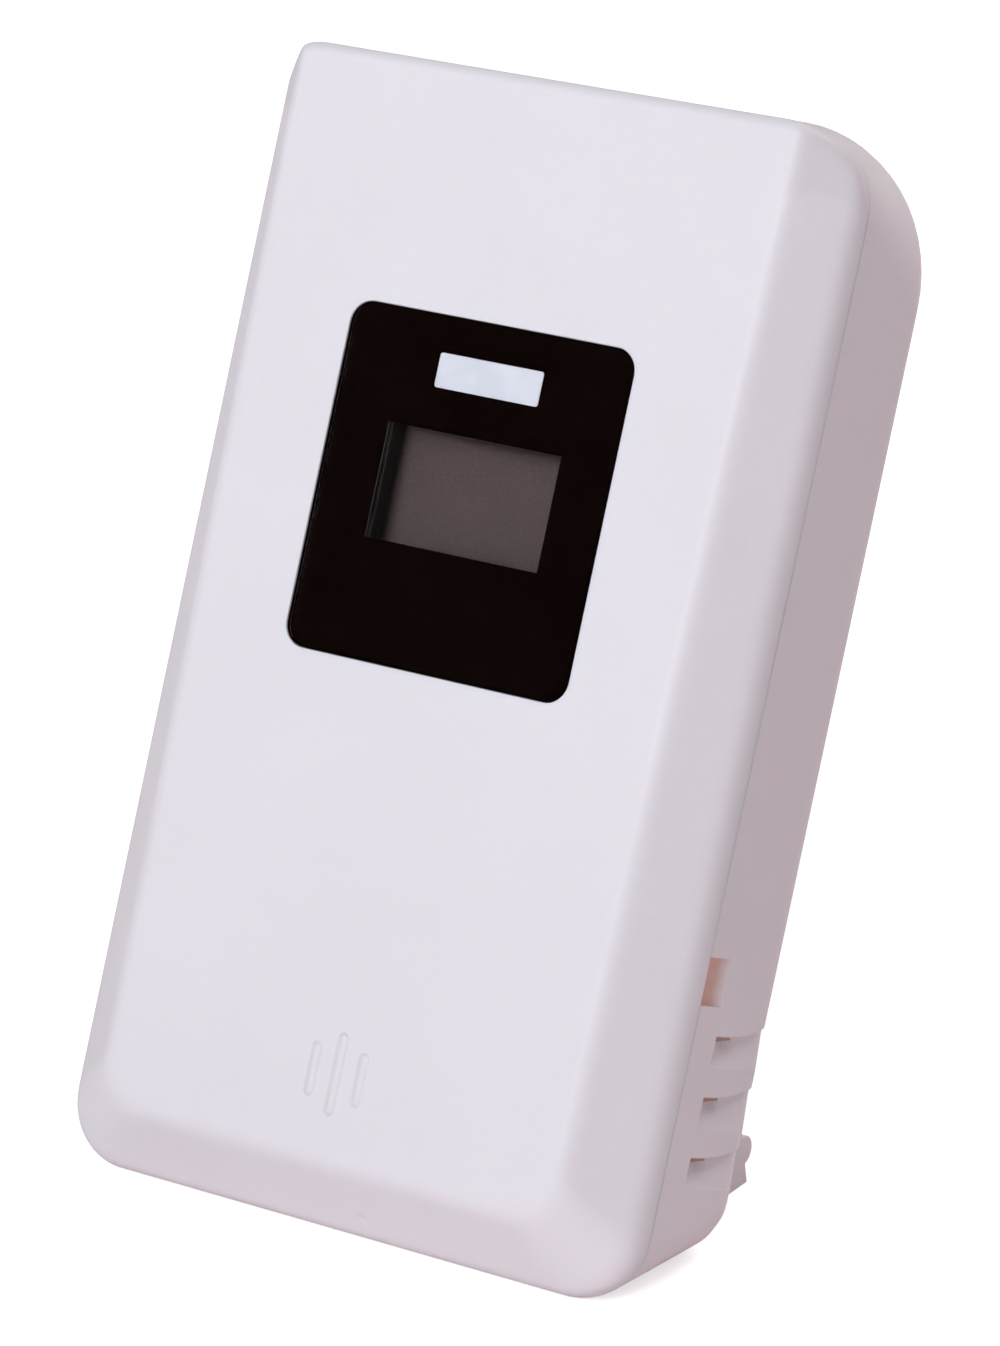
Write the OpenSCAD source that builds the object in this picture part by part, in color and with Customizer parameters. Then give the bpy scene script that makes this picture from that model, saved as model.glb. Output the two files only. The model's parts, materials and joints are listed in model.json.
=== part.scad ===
// Wireless remote thermometer sensor: a white two-part case with bevelled front,
// display window, side louvres, battery compartment and fold-out rear stand.
// Modelled upright in case coordinates (x right, y from the front face to the back,
// z up from the front bottom edge), then leaned back on its slanted base.

/* [Case] */
// Height of the front outline
case_h = 100; // [96:0.5:112]
// Width of the front outline
case_w = 58.2; // [57.6:0.2:66]
// Depth from the front face to the back
case_d = 20; // [20:0.1:24]
// Wall of the rear cover
wall = 1.8; // [1.4:0.1:2]
// Wall of the front cover
front_wall = 2.4; // [2.2:0.1:2.6]
// Lean of the standing case
lean = 22.5; // [20:0.5:25]
// Rise of the top from front to back
top_rise = 1.4; // [0.4:0.1:2]
// Widening of each side towards the back
rear_flare = 0.5; // [0:0.1:0.8]
// Corner radius of the front outline at the top
front_top_r = 6; // [4:0.5:8]
// Corner radius of the front outline at the bottom
front_bottom_r = 6; // [5:0.5:8]
// Corner radius of the rear outline at the top
rear_top_r = 14; // [12:0.5:15]
// Corner radius of the rear outline at the bottom
rear_bottom_r = 4.5; // [4:0.5:7]
// Radius round the back face
rear_edge_r = 2.5; // [2:0.1:3]
// Depth of the parting line behind the bevel crease
front_lip = 1.6; // [1.2:0.1:1.8]

/* [Front face] */
// Width of the flat face at the top
face_top_w = 50; // [47:0.5:52]
// Width of the flat face at the bottom
face_bottom_w = 46.2; // [43:0.2:48]
// Height of the bottom bevel
bottom_bevel_h = 6.2; // [5:0.1:7]
// Depth of the side and bottom bevels
bevel_drop = 5.2; // [4.6:0.1:5.6]
// Radius of the flat face's bottom corners
face_corner_r = 4.5; // [3:0.5:6]
// Radius of the front top edge
top_edge_r = 0.8; // [0.4:0.1:1.2]
// Radius of the outer bevel crease
crease_r = 2; // [1:0.1:2.4]
// Spacing of the three marker grooves
groove_step = 2.4; // [2:0.1:3]
// Width of a marker groove
groove_w = 0.8; // [0.6:0.1:1]
// Depth of a marker groove
groove_depth = 0.35; // [0.2:0.05:0.6]
// Length of the middle groove
groove_long = 7.4; // [6:0.1:9]
// Length of the outer grooves
groove_short = 4.9; // [4:0.1:6]
// Height of the grooves' centre
groove_z = 13.9; // [13:0.1:16]
// Radius of the gate mark on the bottom bevel
gate_mark_r = 0.5; // [0.3:0.1:0.7]
// Sideways place of the gate mark
gate_mark_x = 3.4; // [0:0.1:6]

/* [Display] */
// Width of the lens
lens_w = 28.3; // [26:0.1:30]
// Height of the lens
lens_h = 30.3; // [28:0.1:32]
// Height of the lens centre
lens_z = 63.65; // [62:0.05:66]
// Thickness of the lens
lens_t = 0.6; // [0.5:0.05:1.2]
// Corner radius of the lens
lens_r = 2.2; // [1:0.1:3]
// Depth of the lens below the face
lens_inset = 0.1; // [0.05:0.05:0.2]
// Thickness of the printed mask
mask_t = 0.12; // [0.08:0.02:0.2]
// Thickness of the adhesive frame
tape_t = 0.18; // [0.1:0.02:0.24]
// Width of the adhesive frame's band
tape_band = 2; // [1.5:0.1:2.4]
// Width of the clear window
window_w = 17.4; // [15:0.1:19]
// Height of the clear window
window_h = 10; // [9:0.1:12]
// Height of the window centre
window_z = 63.95; // [63:0.05:65]
// Thickness of the display glass
lcd_t = 1.8; // [1.4:0.1:2]
// Overlap of the display glass past the window
lcd_overlap = 3.2; // [2.6:0.1:3.6]
// Depth of the display glass face below the front
lcd_y = 3; // [2.9:0.05:3.1]
// Opening of the display holder past the window
holder_margin = 0.6; // [0.4:0.1:0.8]
// Wall of the display holder
holder_wall = 1.5; // [1.2:0.1:2]

/* [Board] */
// Gap between the main board and the case's side walls
board_side_gap = 1.7; // [1.4:0.1:2.2]
// Height of the main board
board_h = 59.5; // [58:0.5:60]
// Thickness of the main board
board_t = 1; // [0.8:0.1:1]
// Depth of the main board's front
board_y = 5.9; // [5.8:0.05:5.95]
// Height of the main board's lower edge
board_z = 25.5; // [25:0.1:26.4]
// Inset of the board screws from the board's edges
board_screw_inset = 3.4; // [3:0.1:4]
// Gap between neighbouring parts on the board
part_gap = 0.5; // [0.3:0.1:0.8]
// Distance of the upper parts below the board's top edge
part_down = 9; // [8:0.1:10]

/* [Board parts] */
// Radius of the controller's dome
blob_r = 4.5; // [3.5:0.1:5]
// Height of the controller's dome
blob_h = 1.6; // [1.2:0.1:1.8]
// Radius of the crystal's can
crystal_r = 1; // [0.8:0.1:1.2]
// Length of the crystal's can
crystal_l = 6; // [5:0.1:6.5]
// Radius of a lead
lead_r = 0.22; // [0.18:0.02:0.3]
// Length of a crystal lead before its bend
lead_l = 1.4; // [1:0.1:2]
// Radius of a capacitor
cap_r = 2; // [1.5:0.1:2.2]
// Height of a capacitor
cap_h = 5; // [3:0.1:5.2]
// Width of the radio board
rf_w = 12; // [10:0.1:13]
// Height of the radio board
rf_h = 15; // [12:0.1:16]
// Thickness of the radio board
rf_t = 0.8; // [0.6:0.1:1]
// Height of the radio board above the main board
rf_up = 1.2; // [1:0.1:1.6]
// Radius of the radio board's can
rf_can_r = 2.6; // [2:0.1:2.8]
// Height of the radio board's can
rf_can_h = 2.4; // [2:0.1:3]
// Spacing of the radio board's pins
rf_pin_step = 2.5; // [2:0.1:2.6]
// Radius of a radio board pin
rf_pin_r = 0.3; // [0.25:0.05:0.35]
// Inset of the pins, the can and the antenna on the radio board
rf_inset = 1.5; // [1:0.1:2]
// Radius of the antenna wire
antenna_r = 0.5; // [0.4:0.05:0.6]
// Radius of the antenna's bend
antenna_bend = 3; // [2:0.1:4]
// Length of the antenna along the top of the case
antenna_run = 20; // [16:0.5:22]
// Gap between the antenna and the top of the case
antenna_gap = 4; // [3:0.1:5]
// Radius of the thermistor bead
bead_r = 1.4; // [1:0.1:1.6]
// Inset of the bead from the board's side edge
bead_inset = 1.5; // [1.2:0.1:2]

/* [Battery] */
// Diameter of a cell
cell_d = 10.5; // [10.1:0.1:10.5]
// Length of a cell
cell_l = 44.5; // [43.3:0.1:44.5]
// Pitch between the two cells
cell_pitch = 11; // [10.8:0.1:11.2]
// Length of the compressed contact springs
spring_l = 3.6; // [3.4:0.1:4]
// Turns of a contact spring
spring_turns = 3; // [2.5:0.5:3]
// Radius of the spring wire
spring_wire_r = 0.3; // [0.25:0.05:0.35]
// Radius of a contact spring at its plate
spring_r0 = 3.4; // [3:0.1:3.6]
// Radius of a contact spring at the cell
spring_r1 = 1.8; // [1.6:0.1:2.2]
// Thickness of a contact plate
contact_t = 0.4; // [0.3:0.05:0.5]
// Width of a contact plate
plate_w = 8.4; // [7.6:0.1:9]
// Width of a contact's solder tab
tab_w = 2.4; // [2:0.1:3]
// Length of a cell's tip
tip_l = 0.8; // [0.6:0.1:1]
// Radius of a cell's tip
tip_r = 1.8; // [1.6:0.1:2]
// Wall of the compartment
bay_wall = 1; // [0.8:0.1:1.1]
// Height of the strip for the controls
control_strip = 6; // [5.6:0.1:7]
// Thickness of the battery door
door_t = 1.2; // [1:0.05:1.25]
// Width of the ledge under the door
door_ledge = 1.2; // [1:0.1:1.3]
// Corner radius of the door
door_r = 2; // [1.5:0.1:2.4]
// Wall of the rim under the door
door_rim = 0.8; // [0.6:0.1:1]
// Height of the rim under the door
door_rim_h = 0.6; // [0.4:0.1:0.6]
// Width of the door's screw tab
door_tab_w = 9; // [8:0.1:11]
// Height of the door's screw tab
door_tab_h = 4.4; // [4.2:0.1:5]
// Wall round the door screw's head
door_boss_wall = 0.8; // [0.6:0.1:1]
// Floor under the door screw's head
door_boss_floor = 1.2; // [1:0.1:1.4]
// Number of finger grooves on the door
ridge_n = 4; // [1:1:4]
// Length of a finger groove
ridge_l = 14; // [10:0.5:18]
// Width of a finger groove
ridge_w = 0.8; // [0.6:0.1:1]
// Depth of a finger groove
ridge_depth = 0.4; // [0.2:0.05:0.5]
// Pitch of the finger grooves
ridge_pitch = 1.6; // [1.4:0.1:2]
// Distance of the first finger groove below the door's top
ridge_down = 5; // [4:0.1:6]

/* [Stand] */
// Width of the stand
stand_w = 48.6; // [46:0.2:49]
// Opening angle of the stand
stand_open = 33; // [30:0.5:36]
// Thickness of the stand's plate
stand_t = 2.2; // [1.8:0.1:2.4]
// Height of the stand's hinge
stand_hinge_z = 27.5; // [27:0.1:28]
// Depth of the hinge below the back face
stand_hinge_in = 2; // [1.9:0.1:2.2]
// Radius of the stand's hinge pins
stand_pin_r = 1.1; // [0.9:0.05:1.2]
// Radius of the stand's knuckle
stand_knuckle_r = 1.75; // [1.6:0.05:1.8]
// Radius of the grip bar near the foot
stand_grip_r = 1.35; // [1:0.05:1.6]
// Depth of the recess for the stand
stand_recess = 4.1; // [4:0.1:4.3]
// Wall behind and beside the recess
recess_wall = 1.5; // [1.3:0.1:1.6]
// Reach of the stand's heel above the hinge
heel = 2.2; // [2:0.1:2.4]
// Height of the stand's thick foot
foot_l = 4; // [3:0.1:5]
// Gap between the folded foot and the recess
foot_gap = 0.7; // [0.5:0.05:0.8]
// Drop of the grip bar below the top of the foot
grip_drop = 1.1; // [0.8:0.1:1.4]

/* [Louvres] */
// Number of louvres on each side
louvre_n = 3; // [1:1:3]
// Height of the lowest louvre
louvre_z = 11.1; // [10.5:0.1:12]
// Pitch of the louvres
louvre_pitch = 5.2; // [4.6:0.1:5.4]
// Height of a louvre
louvre_h = 2.65; // [2:0.05:3]
// Depth of a louvre at its top
louvre_depth = 1.2; // [0.8:0.05:1.2]
// Distance of the louvres behind the parting line
louvre_back = 3.7; // [3:0.1:4]
// Height of a louvre's open slit
slit_h = 0.6; // [0.4:0.05:0.8]
// Length of a louvre's open slit
slit_l = 3.4; // [2:0.1:3.6]
// Height of the lower edge of the pry slot
pry_z = 26.65; // [26:0.05:28]
// Height of the pry slot
pry_h = 4.1; // [3:0.1:5]
// Reach of the pry slot behind the parting line
pry_reach = 2.7; // [2:0.1:3.2]

/* [Wall mount] */
// Radius of the keyhole's wide part
key_r = 3.3; // [3:0.1:3.6]
// Radius of the keyhole's narrow part
key_slot_r = 1.6; // [1.4:0.1:1.8]
// Rise of the narrow part above the wide part
key_rise = 4; // [3.6:0.1:4.4]
// Height of the keyhole below the top
key_down = 9; // [8.4:0.1:9.2]
// Depth of the pocket behind the keyhole
key_pocket = 5.5; // [4.5:0.1:6]

/* [Fasteners] */
// Radius of a case screw's shank
screw_r = 1; // [0.8:0.05:1.1]
// Radius of a screw's head
screw_head_r = 1.9; // [1.7:0.05:2]
// Height of a screw's head
screw_head_h = 1.3; // [1:0.1:1.4]
// Radius of the case bosses
boss_r = 2.8; // [2.6:0.1:3]
// Depth of the joint between front and rear bosses
boss_joint_y = 12.4; // [12:0.1:12.8]
// Thickness of the seat under a case screw's head
seat_t = 1.4; // [1.2:0.1:1.5]
// Plastic left in front of a pilot hole
pilot_skin = 0.6; // [0.5:0.1:0.8]
// Length of a case screw's shank
case_screw_l = 8; // [7:0.1:8.4]
// Length of a board screw's shank
board_screw_l = 3.6; // [3:0.1:3.6]
// Length of the door screw's shank
door_screw_l = 6; // [5:0.1:6.4]
// Distance of the upper case screws from the sides
upper_screw_in = 8.6; // [8.2:0.1:10]
// Distance of the upper case screws below the top
upper_screw_down = 10.5; // [10:0.1:11]
// Distance of the lower case screws from the sides
lower_screw_in = 12.1; // [11:0.1:15]
// Height of the lower case screws
lower_screw_z = 17; // [15:0.1:18]

/* [Controls] */
// Sideways place of the channel switch
switch_x = -12; // [-16:0.5:-10]
// Width of the channel switch
switch_w = 9; // [8:0.1:10]
// Height of the channel switch
switch_h = 3.6; // [3.2:0.1:4]
// Thickness of the channel switch
switch_t = 3; // [2.6:0.1:3.2]
// Depth of the slider's well
switch_well = 1.4; // [1:0.1:1.6]
// Width of the slider
knob_w = 1.8; // [1.4:0.1:2]
// Height of the slider
knob_h = 1.4; // [1:0.1:1.6]
// Rise of the slider above its switch
knob_up = 1.6; // [1:0.1:2]
// Step between two channel positions
switch_step = 2; // [1.5:0.1:2]
// Sideways place of the reset button
reset_x = 4; // [2:0.5:6]
// Sideways place of the unit button
unit_x = 14; // [12:0.5:17]
// Width of a button's switch
tact_w = 4.2; // [3.8:0.1:4.6]
// Thickness of a button's switch
tact_t = 2.6; // [2.2:0.1:2.8]
// Depth of a button's well
tact_well = 1.6; // [1.2:0.1:1.8]
// Rise of a button above its switch
button_up = 1.4; // [1:0.1:1.8]
// Radius of a button's plunger
button_r = 1.3; // [1:0.1:1.4]
// Travel of a button
button_travel = 0.3; // [0.2:0.05:0.3]

/* [Clearances] */
// Gap between parts that slide or lift past each other
slide_gap = 0.3; // [0.25:0.05:0.35]
// Gap between parts that are fitted once
fit_gap = 0.15; // [0.1:0.05:0.2]
// Radial running gap of the stand's pins
pin_gap = 0.06; // [0.03:0.01:0.09]
// Radial gap between a screw and its pilot hole
pilot_gap = 0.05; // [0.02:0.01:0.1]

/* [Hidden] */
$fn = 48;
// Steps round each corner of the case outline
corner_steps = 14;
// Overshoot that carries a cut past a face
cut = 1;
// Least radius of a ring's corners and edges
least_r = 0.4;

// Case
base_slope = tan(lean);
parting_y = bevel_drop + front_lip;
bevel_angle = atan2(bevel_drop, (case_w - (face_top_w + face_bottom_w) / 2) / 2);
rear_round_y = case_d - rear_edge_r;
lip_h = 1.2;
base_y = (bevel_drop + rear_round_y) / 2;
base_z = (base_y - bevel_drop) * base_slope;

// Display stack, from the front
mask_y = lens_inset + lens_t;
tape_y = mask_y + mask_t;
lens_seat_y = tape_y + tape_t;
lcd_w = window_w + 2 * lcd_overlap;
lcd_h = window_h + 2 * lcd_overlap;
view_w = window_w + 2 * holder_margin;
view_h = window_h + 2 * holder_margin;
collar_w = view_w + 2 * holder_wall;
collar_h = view_h + 2 * holder_wall;
collar_y = lens_seat_y + fit_gap;
holder_w = lcd_w + 2 * holder_wall;
holder_h = lcd_h + 2 * holder_wall;
zebra_h = 2.2;
zebra_z = window_z - lcd_h / 2 + zebra_h / 2 + fit_gap;

// Board
board_w = case_w - 2 * (front_wall + board_side_gap);
board_back = board_y + board_t;
board_top = board_z + board_h;
board_screw_x = board_w / 2 - board_screw_inset;
board_screw_zs = [board_z + board_screw_inset, board_top - board_screw_inset];
solder_gap = fit_gap / 3;
part_z = board_top - part_down;
cap_x = board_screw_x - screw_head_r - part_gap - cap_r;
blob_x = cap_x - cap_r - part_gap - blob_r;
crystal_x = blob_x - blob_r - part_gap - crystal_r;
rf_x = screw_head_r + part_gap + rf_w / 2 - board_screw_x;
rf_y = board_back + rf_up;
rf_back = rf_y + rf_t;
rf_z = board_top - board_screw_inset - screw_head_r - part_gap - rf_h / 2;

// Stand
hinge_y = case_d - stand_hinge_in;
recess_y = case_d - stand_recess;
recess_w = stand_w + 2 * slide_gap;
heel_top_open = heel * cos(stand_open) + stand_hinge_in * sin(stand_open);
recess_top = stand_hinge_z + heel_top_open + slide_gap;
// Length of the leg: its centre line runs from the hinge to the table
hinge_height = stand_hinge_z - (hinge_y - bevel_drop) * base_slope;
stand_l = hinge_height * cos(lean) / cos(stand_open - lean);
foot_skew = tan(stand_open - lean);
pin_l = recess_wall - 2 * fit_gap;

// Screws
pilot_r = screw_r + pilot_gap;
clear_r = screw_r + slide_gap;
head_hole_r = screw_head_r + slide_gap;
upper_screw_x = case_w / 2 - upper_screw_in;
upper_screw_z = case_h - upper_screw_down;
lower_screw_x = case_w / 2 - lower_screw_in;
seat_y = boss_joint_y + fit_gap + seat_t;

// Battery bay
bay_floor_y = board_back + slide_gap + bay_wall - fit_gap;
cell_y = bay_floor_y + solder_gap + cell_d / 2;
bay_l = cell_l + spring_l + 2 * contact_t + 4 * solder_gap;
bay_z = recess_top + bay_wall + door_ledge;
bay_h = cell_pitch + cell_d + control_strip;
bay_top = bay_z + bay_h;
cell_zs = [bay_z + fit_gap + cell_d / 2, bay_z + fit_gap + cell_d / 2 + cell_pitch];
control_z = cell_zs[1] + cell_d / 2 + (bay_top - cell_zs[1] - cell_d / 2) / 2;
door_y = case_d - door_t;
door_w = bay_l + 2 * door_ledge - 2 * slide_gap;
door_z0 = bay_z - door_ledge + slide_gap;
door_z1 = bay_top + door_ledge - slide_gap;
door_boss_r = head_hole_r + door_boss_wall;
door_screw_z = door_z1 + door_tab_h - door_boss_r;
door_seat_y = case_d - screw_head_h;
door_boss_y = door_seat_y - door_boss_floor;
cell_tip_x = bay_l / 2 - contact_t - 2 * solder_gap;

// Contact springs
spring_sides = 6;
spring_rings = 8;
spring_steps = spring_rings * spring_turns;
spring_run = spring_l - 2 * spring_wire_r - 2 * solder_gap;

// Controls
switch_y = board_back + switch_t;
well_y = switch_y - switch_well;
tact_y = board_back + tact_t;
tact_well_y = tact_y - tact_well;

// Thermistor bead, above the lower case bosses
bead_z = lower_screw_z + boss_r + part_gap + bead_r;

// Louvres and keyhole
louvre_y = parting_y + louvre_back;
side_x = case_w / 2 + rear_flare / 2;
key_z = case_h - key_down;
key_pocket_y = case_d - key_pocket;
key_margin = 0.4;

white = [0.93, 0.92, 0.95];
shade_white = [0.88, 0.87, 0.9];
print_black = [0.07, 0.05, 0.05];
steel = [0.72, 0.73, 0.75];
board_green = [0.12, 0.36, 0.2];

// Least gap of a contact spring to itself, measured between its centre points
echo("contact spring least gap", spring_least_gap());

// Helpers

function blend(a, b, t) = a + (b - a) * t;

// Stands the upright case on its slanted base
module lean_back() {
    rotate([-lean, 0, 0])
        translate([0, -base_y, -base_z])
            children();
}

// Box between two corners
module block(x, y, z) {
    translate([x[0], y[0], z[0]])
        cube([x[1] - x[0], y[1] - y[0], z[1] - z[0]]);
}

// Box centred on x and z, between two depths
module slab(w, h, y0, y1) {
    translate([-w / 2, y0, -h / 2])
        cube([w, y1 - y0, h]);
}

// Round bar along the depth
module bar_y(r, y0, y1) {
    translate([0, y0, 0])
        rotate([-90, 0, 0])
            cylinder(r = r, h = y1 - y0);
}

// Round bar along the width
module bar_x(r, x0, x1) {
    translate([x0, 0, 0])
        rotate([0, 90, 0])
            cylinder(r = r, h = x1 - x0);
}

// Plate with round corners, between two depths
module round_plate(w, h, r, y0, y1) {
    slab(w - 2 * r, h, y0, y1);
    slab(w, h - 2 * r, y0, y1);
    for (sx = [-1, 1], sz = [-1, 1])
        translate([sx * (w / 2 - r), 0, sz * (h / 2 - r)])
            bar_y(r, y0, y1);
}

// Copies a shape to both sides
module both_sides() {
    children();
    mirror([1, 0, 0])
        children();
}

// Case outline

// One ring of the case: depth, half widths, bottom, top and corner radii
function case_ring(y, top_hw, low_hw, z0, z1, top_r, low_r) = [
    for (k = [0:3], i = [0:corner_steps])
        let (
            side = (k == 0 || k == 3) ? 1 : -1,
            high = k < 2,
            r = high ? top_r : low_r,
            hw = high ? top_hw : low_hw,
            a = 90 * (k + i / corner_steps)
        )
        [side * (hw - r) + r * cos(a), y, (high ? z1 - r : z0 + r) + r * sin(a)]
];

// A ring on the bevels, where t runs from the flat face to the outer crease
function bevel_ring(s, t, z1) =
    let (pull = s * tan(bevel_angle / 2))
    case_ring(
        blend(s, bevel_drop + s * tan(45 - bevel_angle / 2), t),
        blend(face_top_w / 2 - pull, case_w / 2 - s, t),
        blend(face_bottom_w / 2 - pull, case_w / 2 - s, t),
        blend(bottom_bevel_h + pull, s, t),
        z1,
        blend(least_r, max(front_top_r - s, least_r), t),
        blend(max(face_corner_r - s, least_r), max(front_bottom_r - s, least_r), t)
    );

// A ring on the side walls, drawn in by s and by the rear round
function side_ring(s, y, draw_in) =
    let (
        t = (min(y, rear_round_y) - bevel_drop) / (rear_round_y - bevel_drop),
        hw = case_w / 2 + rear_flare * t - s - draw_in
    )
    case_ring(
        y, hw, hw,
        (y - bevel_drop) * base_slope + (s + draw_in) / cos(lean),
        case_h + top_rise * t - s - draw_in,
        max(blend(front_top_r, rear_top_r, t) - s - draw_in, least_r),
        max(blend(front_bottom_r, rear_bottom_r, t) - s - draw_in, least_r)
    );

// Rings of the case drawn in by s on every side, from front to back
function case_rings(s) =
    let (
        edge = max(top_edge_r - s, least_r),
        round_r = max(rear_edge_r - s, least_r),
        crease = crease_r * tan(45 - bevel_angle / 2)
    )
    concat(
        [for (a = [0, 45, 90])
            bevel_ring(s, edge * (1 - cos(a)) / bevel_drop, case_h - s - edge * (1 - sin(a)))],
        [bevel_ring(s, 1 - crease / bevel_drop, case_h - s)],
        [side_ring(s, bevel_drop + s * tan(45 - bevel_angle / 2) + crease, 0)],
        [for (a = [0:22.5:90])
            side_ring(s, case_d - s - round_r * (1 - sin(a)), round_r * (1 - cos(a)))]
    );

// Closed skin through rings of equal length
module loft(rings) {
    n = len(rings[0]);
    last = (len(rings) - 1) * n;
    polyhedron(
        points = [for (ring = rings) each ring],
        faces = concat(
            [[for (i = [n - 1:-1:0]) i]],
            [for (j = [0:len(rings) - 2], i = [0:n - 1])
                [j * n + i, j * n + (i + 1) % n, (j + 1) * n + i]],
            [for (j = [0:len(rings) - 2], i = [0:n - 1])
                [j * n + (i + 1) % n, (j + 1) * n + (i + 1) % n, (j + 1) * n + i]],
            [[for (i = [0:n - 1]) last + i]]
        )
    );
}

module case_solid(s) {
    loft(case_rings(s));
}

// Everything between two depths
module depth_band(y0, y1) {
    block([-case_w, case_w], [y0, y1], [-case_h, 2 * case_h]);
}

// Front cover

module front_cover() {
    color(white) lean_back() difference() {
        union() {
            difference() {
                union() {
                    intersection() {
                        case_solid(0);
                        depth_band(-cut, parting_y);
                    }
                    intersection() {
                        case_solid(wall + fit_gap);
                        depth_band(bevel_drop, parting_y + lip_h);
                    }
                }
                case_solid(front_wall);
            }
            front_posts();
        }
        lens_pocket();
        marker_grooves();
        gate_mark();
        front_pilots();
    }
}

// Posts for the main board and the case screws
module front_posts() {
    both_sides() {
        for (z = board_screw_zs)
            translate([board_screw_x, 0, z])
                bar_y(boss_r, front_wall - cut, board_y);
        translate([upper_screw_x, 0, upper_screw_z])
            bar_y(boss_r, front_wall - cut, boss_joint_y);
        translate([lower_screw_x, 0, lower_screw_z])
            bar_y(boss_r, front_wall - cut, boss_joint_y);
    }
}

module front_pilots() {
    pilot_y = front_wall + pilot_skin;
    both_sides() {
        for (z = board_screw_zs)
            translate([board_screw_x, 0, z])
                bar_y(pilot_r, pilot_y, board_y + cut);
        translate([upper_screw_x, 0, upper_screw_z])
            bar_y(pilot_r, pilot_y, boss_joint_y + cut);
        translate([lower_screw_x, 0, lower_screw_z])
            bar_y(pilot_r, pilot_y, boss_joint_y + cut);
    }
}

module lens_pocket() {
    translate([0, 0, lens_z])
        round_plate(lens_w + 2 * fit_gap, lens_h + 2 * fit_gap, lens_r + fit_gap,
            -cut, lens_seat_y);
    translate([0, 0, window_z])
        slab(collar_w + 2 * fit_gap, collar_h + 2 * fit_gap, 0, front_wall + cut);
}

// Three upright grooves, the middle one longer
module marker_grooves() {
    for (k = [-1:1]) {
        run = (k == 0 ? groove_long : groove_short) - groove_w;
        translate([k * groove_step, 0, groove_z]) {
            slab(groove_w, run, -cut, groove_depth);
            for (sz = [-1, 1])
                translate([0, 0, sz * run / 2])
                    bar_y(groove_w / 2, -cut, groove_depth);
        }
    }
}

// Small round gate mark on the bottom bevel
module gate_mark() {
    share_down = 0.65;
    translate([gate_mark_x, bevel_drop * share_down, bottom_bevel_h * (1 - share_down)])
        sphere(r = gate_mark_r);
}

// Rear cover

module rear_cover() {
    color(white) lean_back() difference() {
        union() {
            difference() {
                intersection() {
                    case_solid(0);
                    depth_band(parting_y, case_d + cut);
                }
                case_solid(wall);
            }
            intersection() {
                case_solid(wall / 2);
                rear_walls();
            }
        }
        bay_cut();
        stand_cut();
        keyhole_cut();
        rear_screw_cuts();
        both_sides() {
            louvre_cuts();
            pry_cut();
        }
    }
}

// Walls behind the back face: battery bay, stand recess, keyhole pocket and bosses
module rear_walls() {
    bay_hw = bay_l / 2 + bay_wall;
    recess_hw = recess_w / 2 + recess_wall;
    pocket_hw = key_r + key_margin + bay_wall;
    pocket_z0 = key_z - key_r - key_margin - bay_wall;
    pocket_z1 = key_z + key_rise + key_slot_r + key_margin + bay_wall;
    block([-bay_hw, bay_hw], [bay_floor_y - bay_wall + fit_gap, case_d],
        [bay_z - bay_wall, bay_top + door_ledge]);
    block([-recess_hw, recess_hw], [recess_y - recess_wall, case_d], [0, bay_z]);
    block([-pocket_hw, pocket_hw], [key_pocket_y - bay_wall, case_d], [pocket_z0, pocket_z1]);
    both_sides() {
        translate([upper_screw_x, 0, upper_screw_z])
            bar_y(head_hole_r + bay_wall, boss_joint_y + fit_gap, case_d);
        translate([lower_screw_x, 0, lower_screw_z])
            bar_y(head_hole_r + bay_wall, boss_joint_y + fit_gap, recess_y);
    }
    translate([0, 0, door_screw_z])
        bar_y(boss_r, door_seat_y - door_screw_l - cut, door_boss_y);
    block([-door_tab_w / 2 - door_ledge, door_tab_w / 2 + door_ledge], [door_boss_y - wall, case_d],
        [bay_top, door_z1 + door_tab_h + door_ledge]);
}

module bay_cut() {
    translate([0, 0, (bay_z + bay_top) / 2])
        slab(bay_l, bay_h, bay_floor_y, case_d + cut);
    door_shape(door_y, case_d + cut, slide_gap);
    translate([0, 0, door_screw_z]) {
        bar_y(door_boss_r + slide_gap, door_boss_y, case_d);
        bar_y(pilot_r, door_seat_y - door_screw_l - fit_gap, case_d);
    }
    translate([switch_x, 0, control_z])
        slab(switch_w + 2 * slide_gap, switch_h + 2 * slide_gap, board_back, bay_floor_y + cut);
    for (x = [reset_x, unit_x])
        translate([x, 0, control_z])
            slab(tact_w + 2 * slide_gap, tact_w + 2 * slide_gap, board_back, bay_floor_y + cut);
    for (x = [-1, 1], z = cell_zs)
        translate([x * (bay_l / 2 - contact_t / 2 - solder_gap), 0, z])
            slab(contact_t + 2 * fit_gap, tab_w + 2 * fit_gap, board_back, bay_floor_y + cut);
}

module stand_cut() {
    block([-recess_w / 2, recess_w / 2], [recess_y, case_d + cut], [-case_h, recess_top]);
    both_sides()
        translate([0, hinge_y, stand_hinge_z])
            bar_x(stand_pin_r + pin_gap, recess_w / 2 - cut, recess_w / 2 + recess_wall + cut / 2);
}

// Keyhole through the back and the pocket behind it
module keyhole_cut() {
    translate([0, 0, key_z])
        bar_y(key_r, key_pocket_y, case_d + cut);
    translate([0, 0, key_z + key_rise])
        bar_y(key_slot_r, key_pocket_y, case_d + cut);
    block([-key_slot_r, key_slot_r], [key_pocket_y, case_d + cut], [key_z, key_z + key_rise]);
    block([-key_r, key_r], [key_pocket_y, case_d - wall], [key_z, key_z + key_rise + key_slot_r]);
}

module rear_screw_cuts() {
    both_sides() {
        translate([upper_screw_x, 0, upper_screw_z]) {
            bar_y(clear_r, boss_joint_y, case_d);
            bar_y(head_hole_r, seat_y, case_d + cut);
        }
        translate([lower_screw_x, 0, lower_screw_z]) {
            bar_y(clear_r, boss_joint_y, case_d);
            bar_y(head_hole_r, seat_y, recess_y + cut);
        }
    }
}

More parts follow.
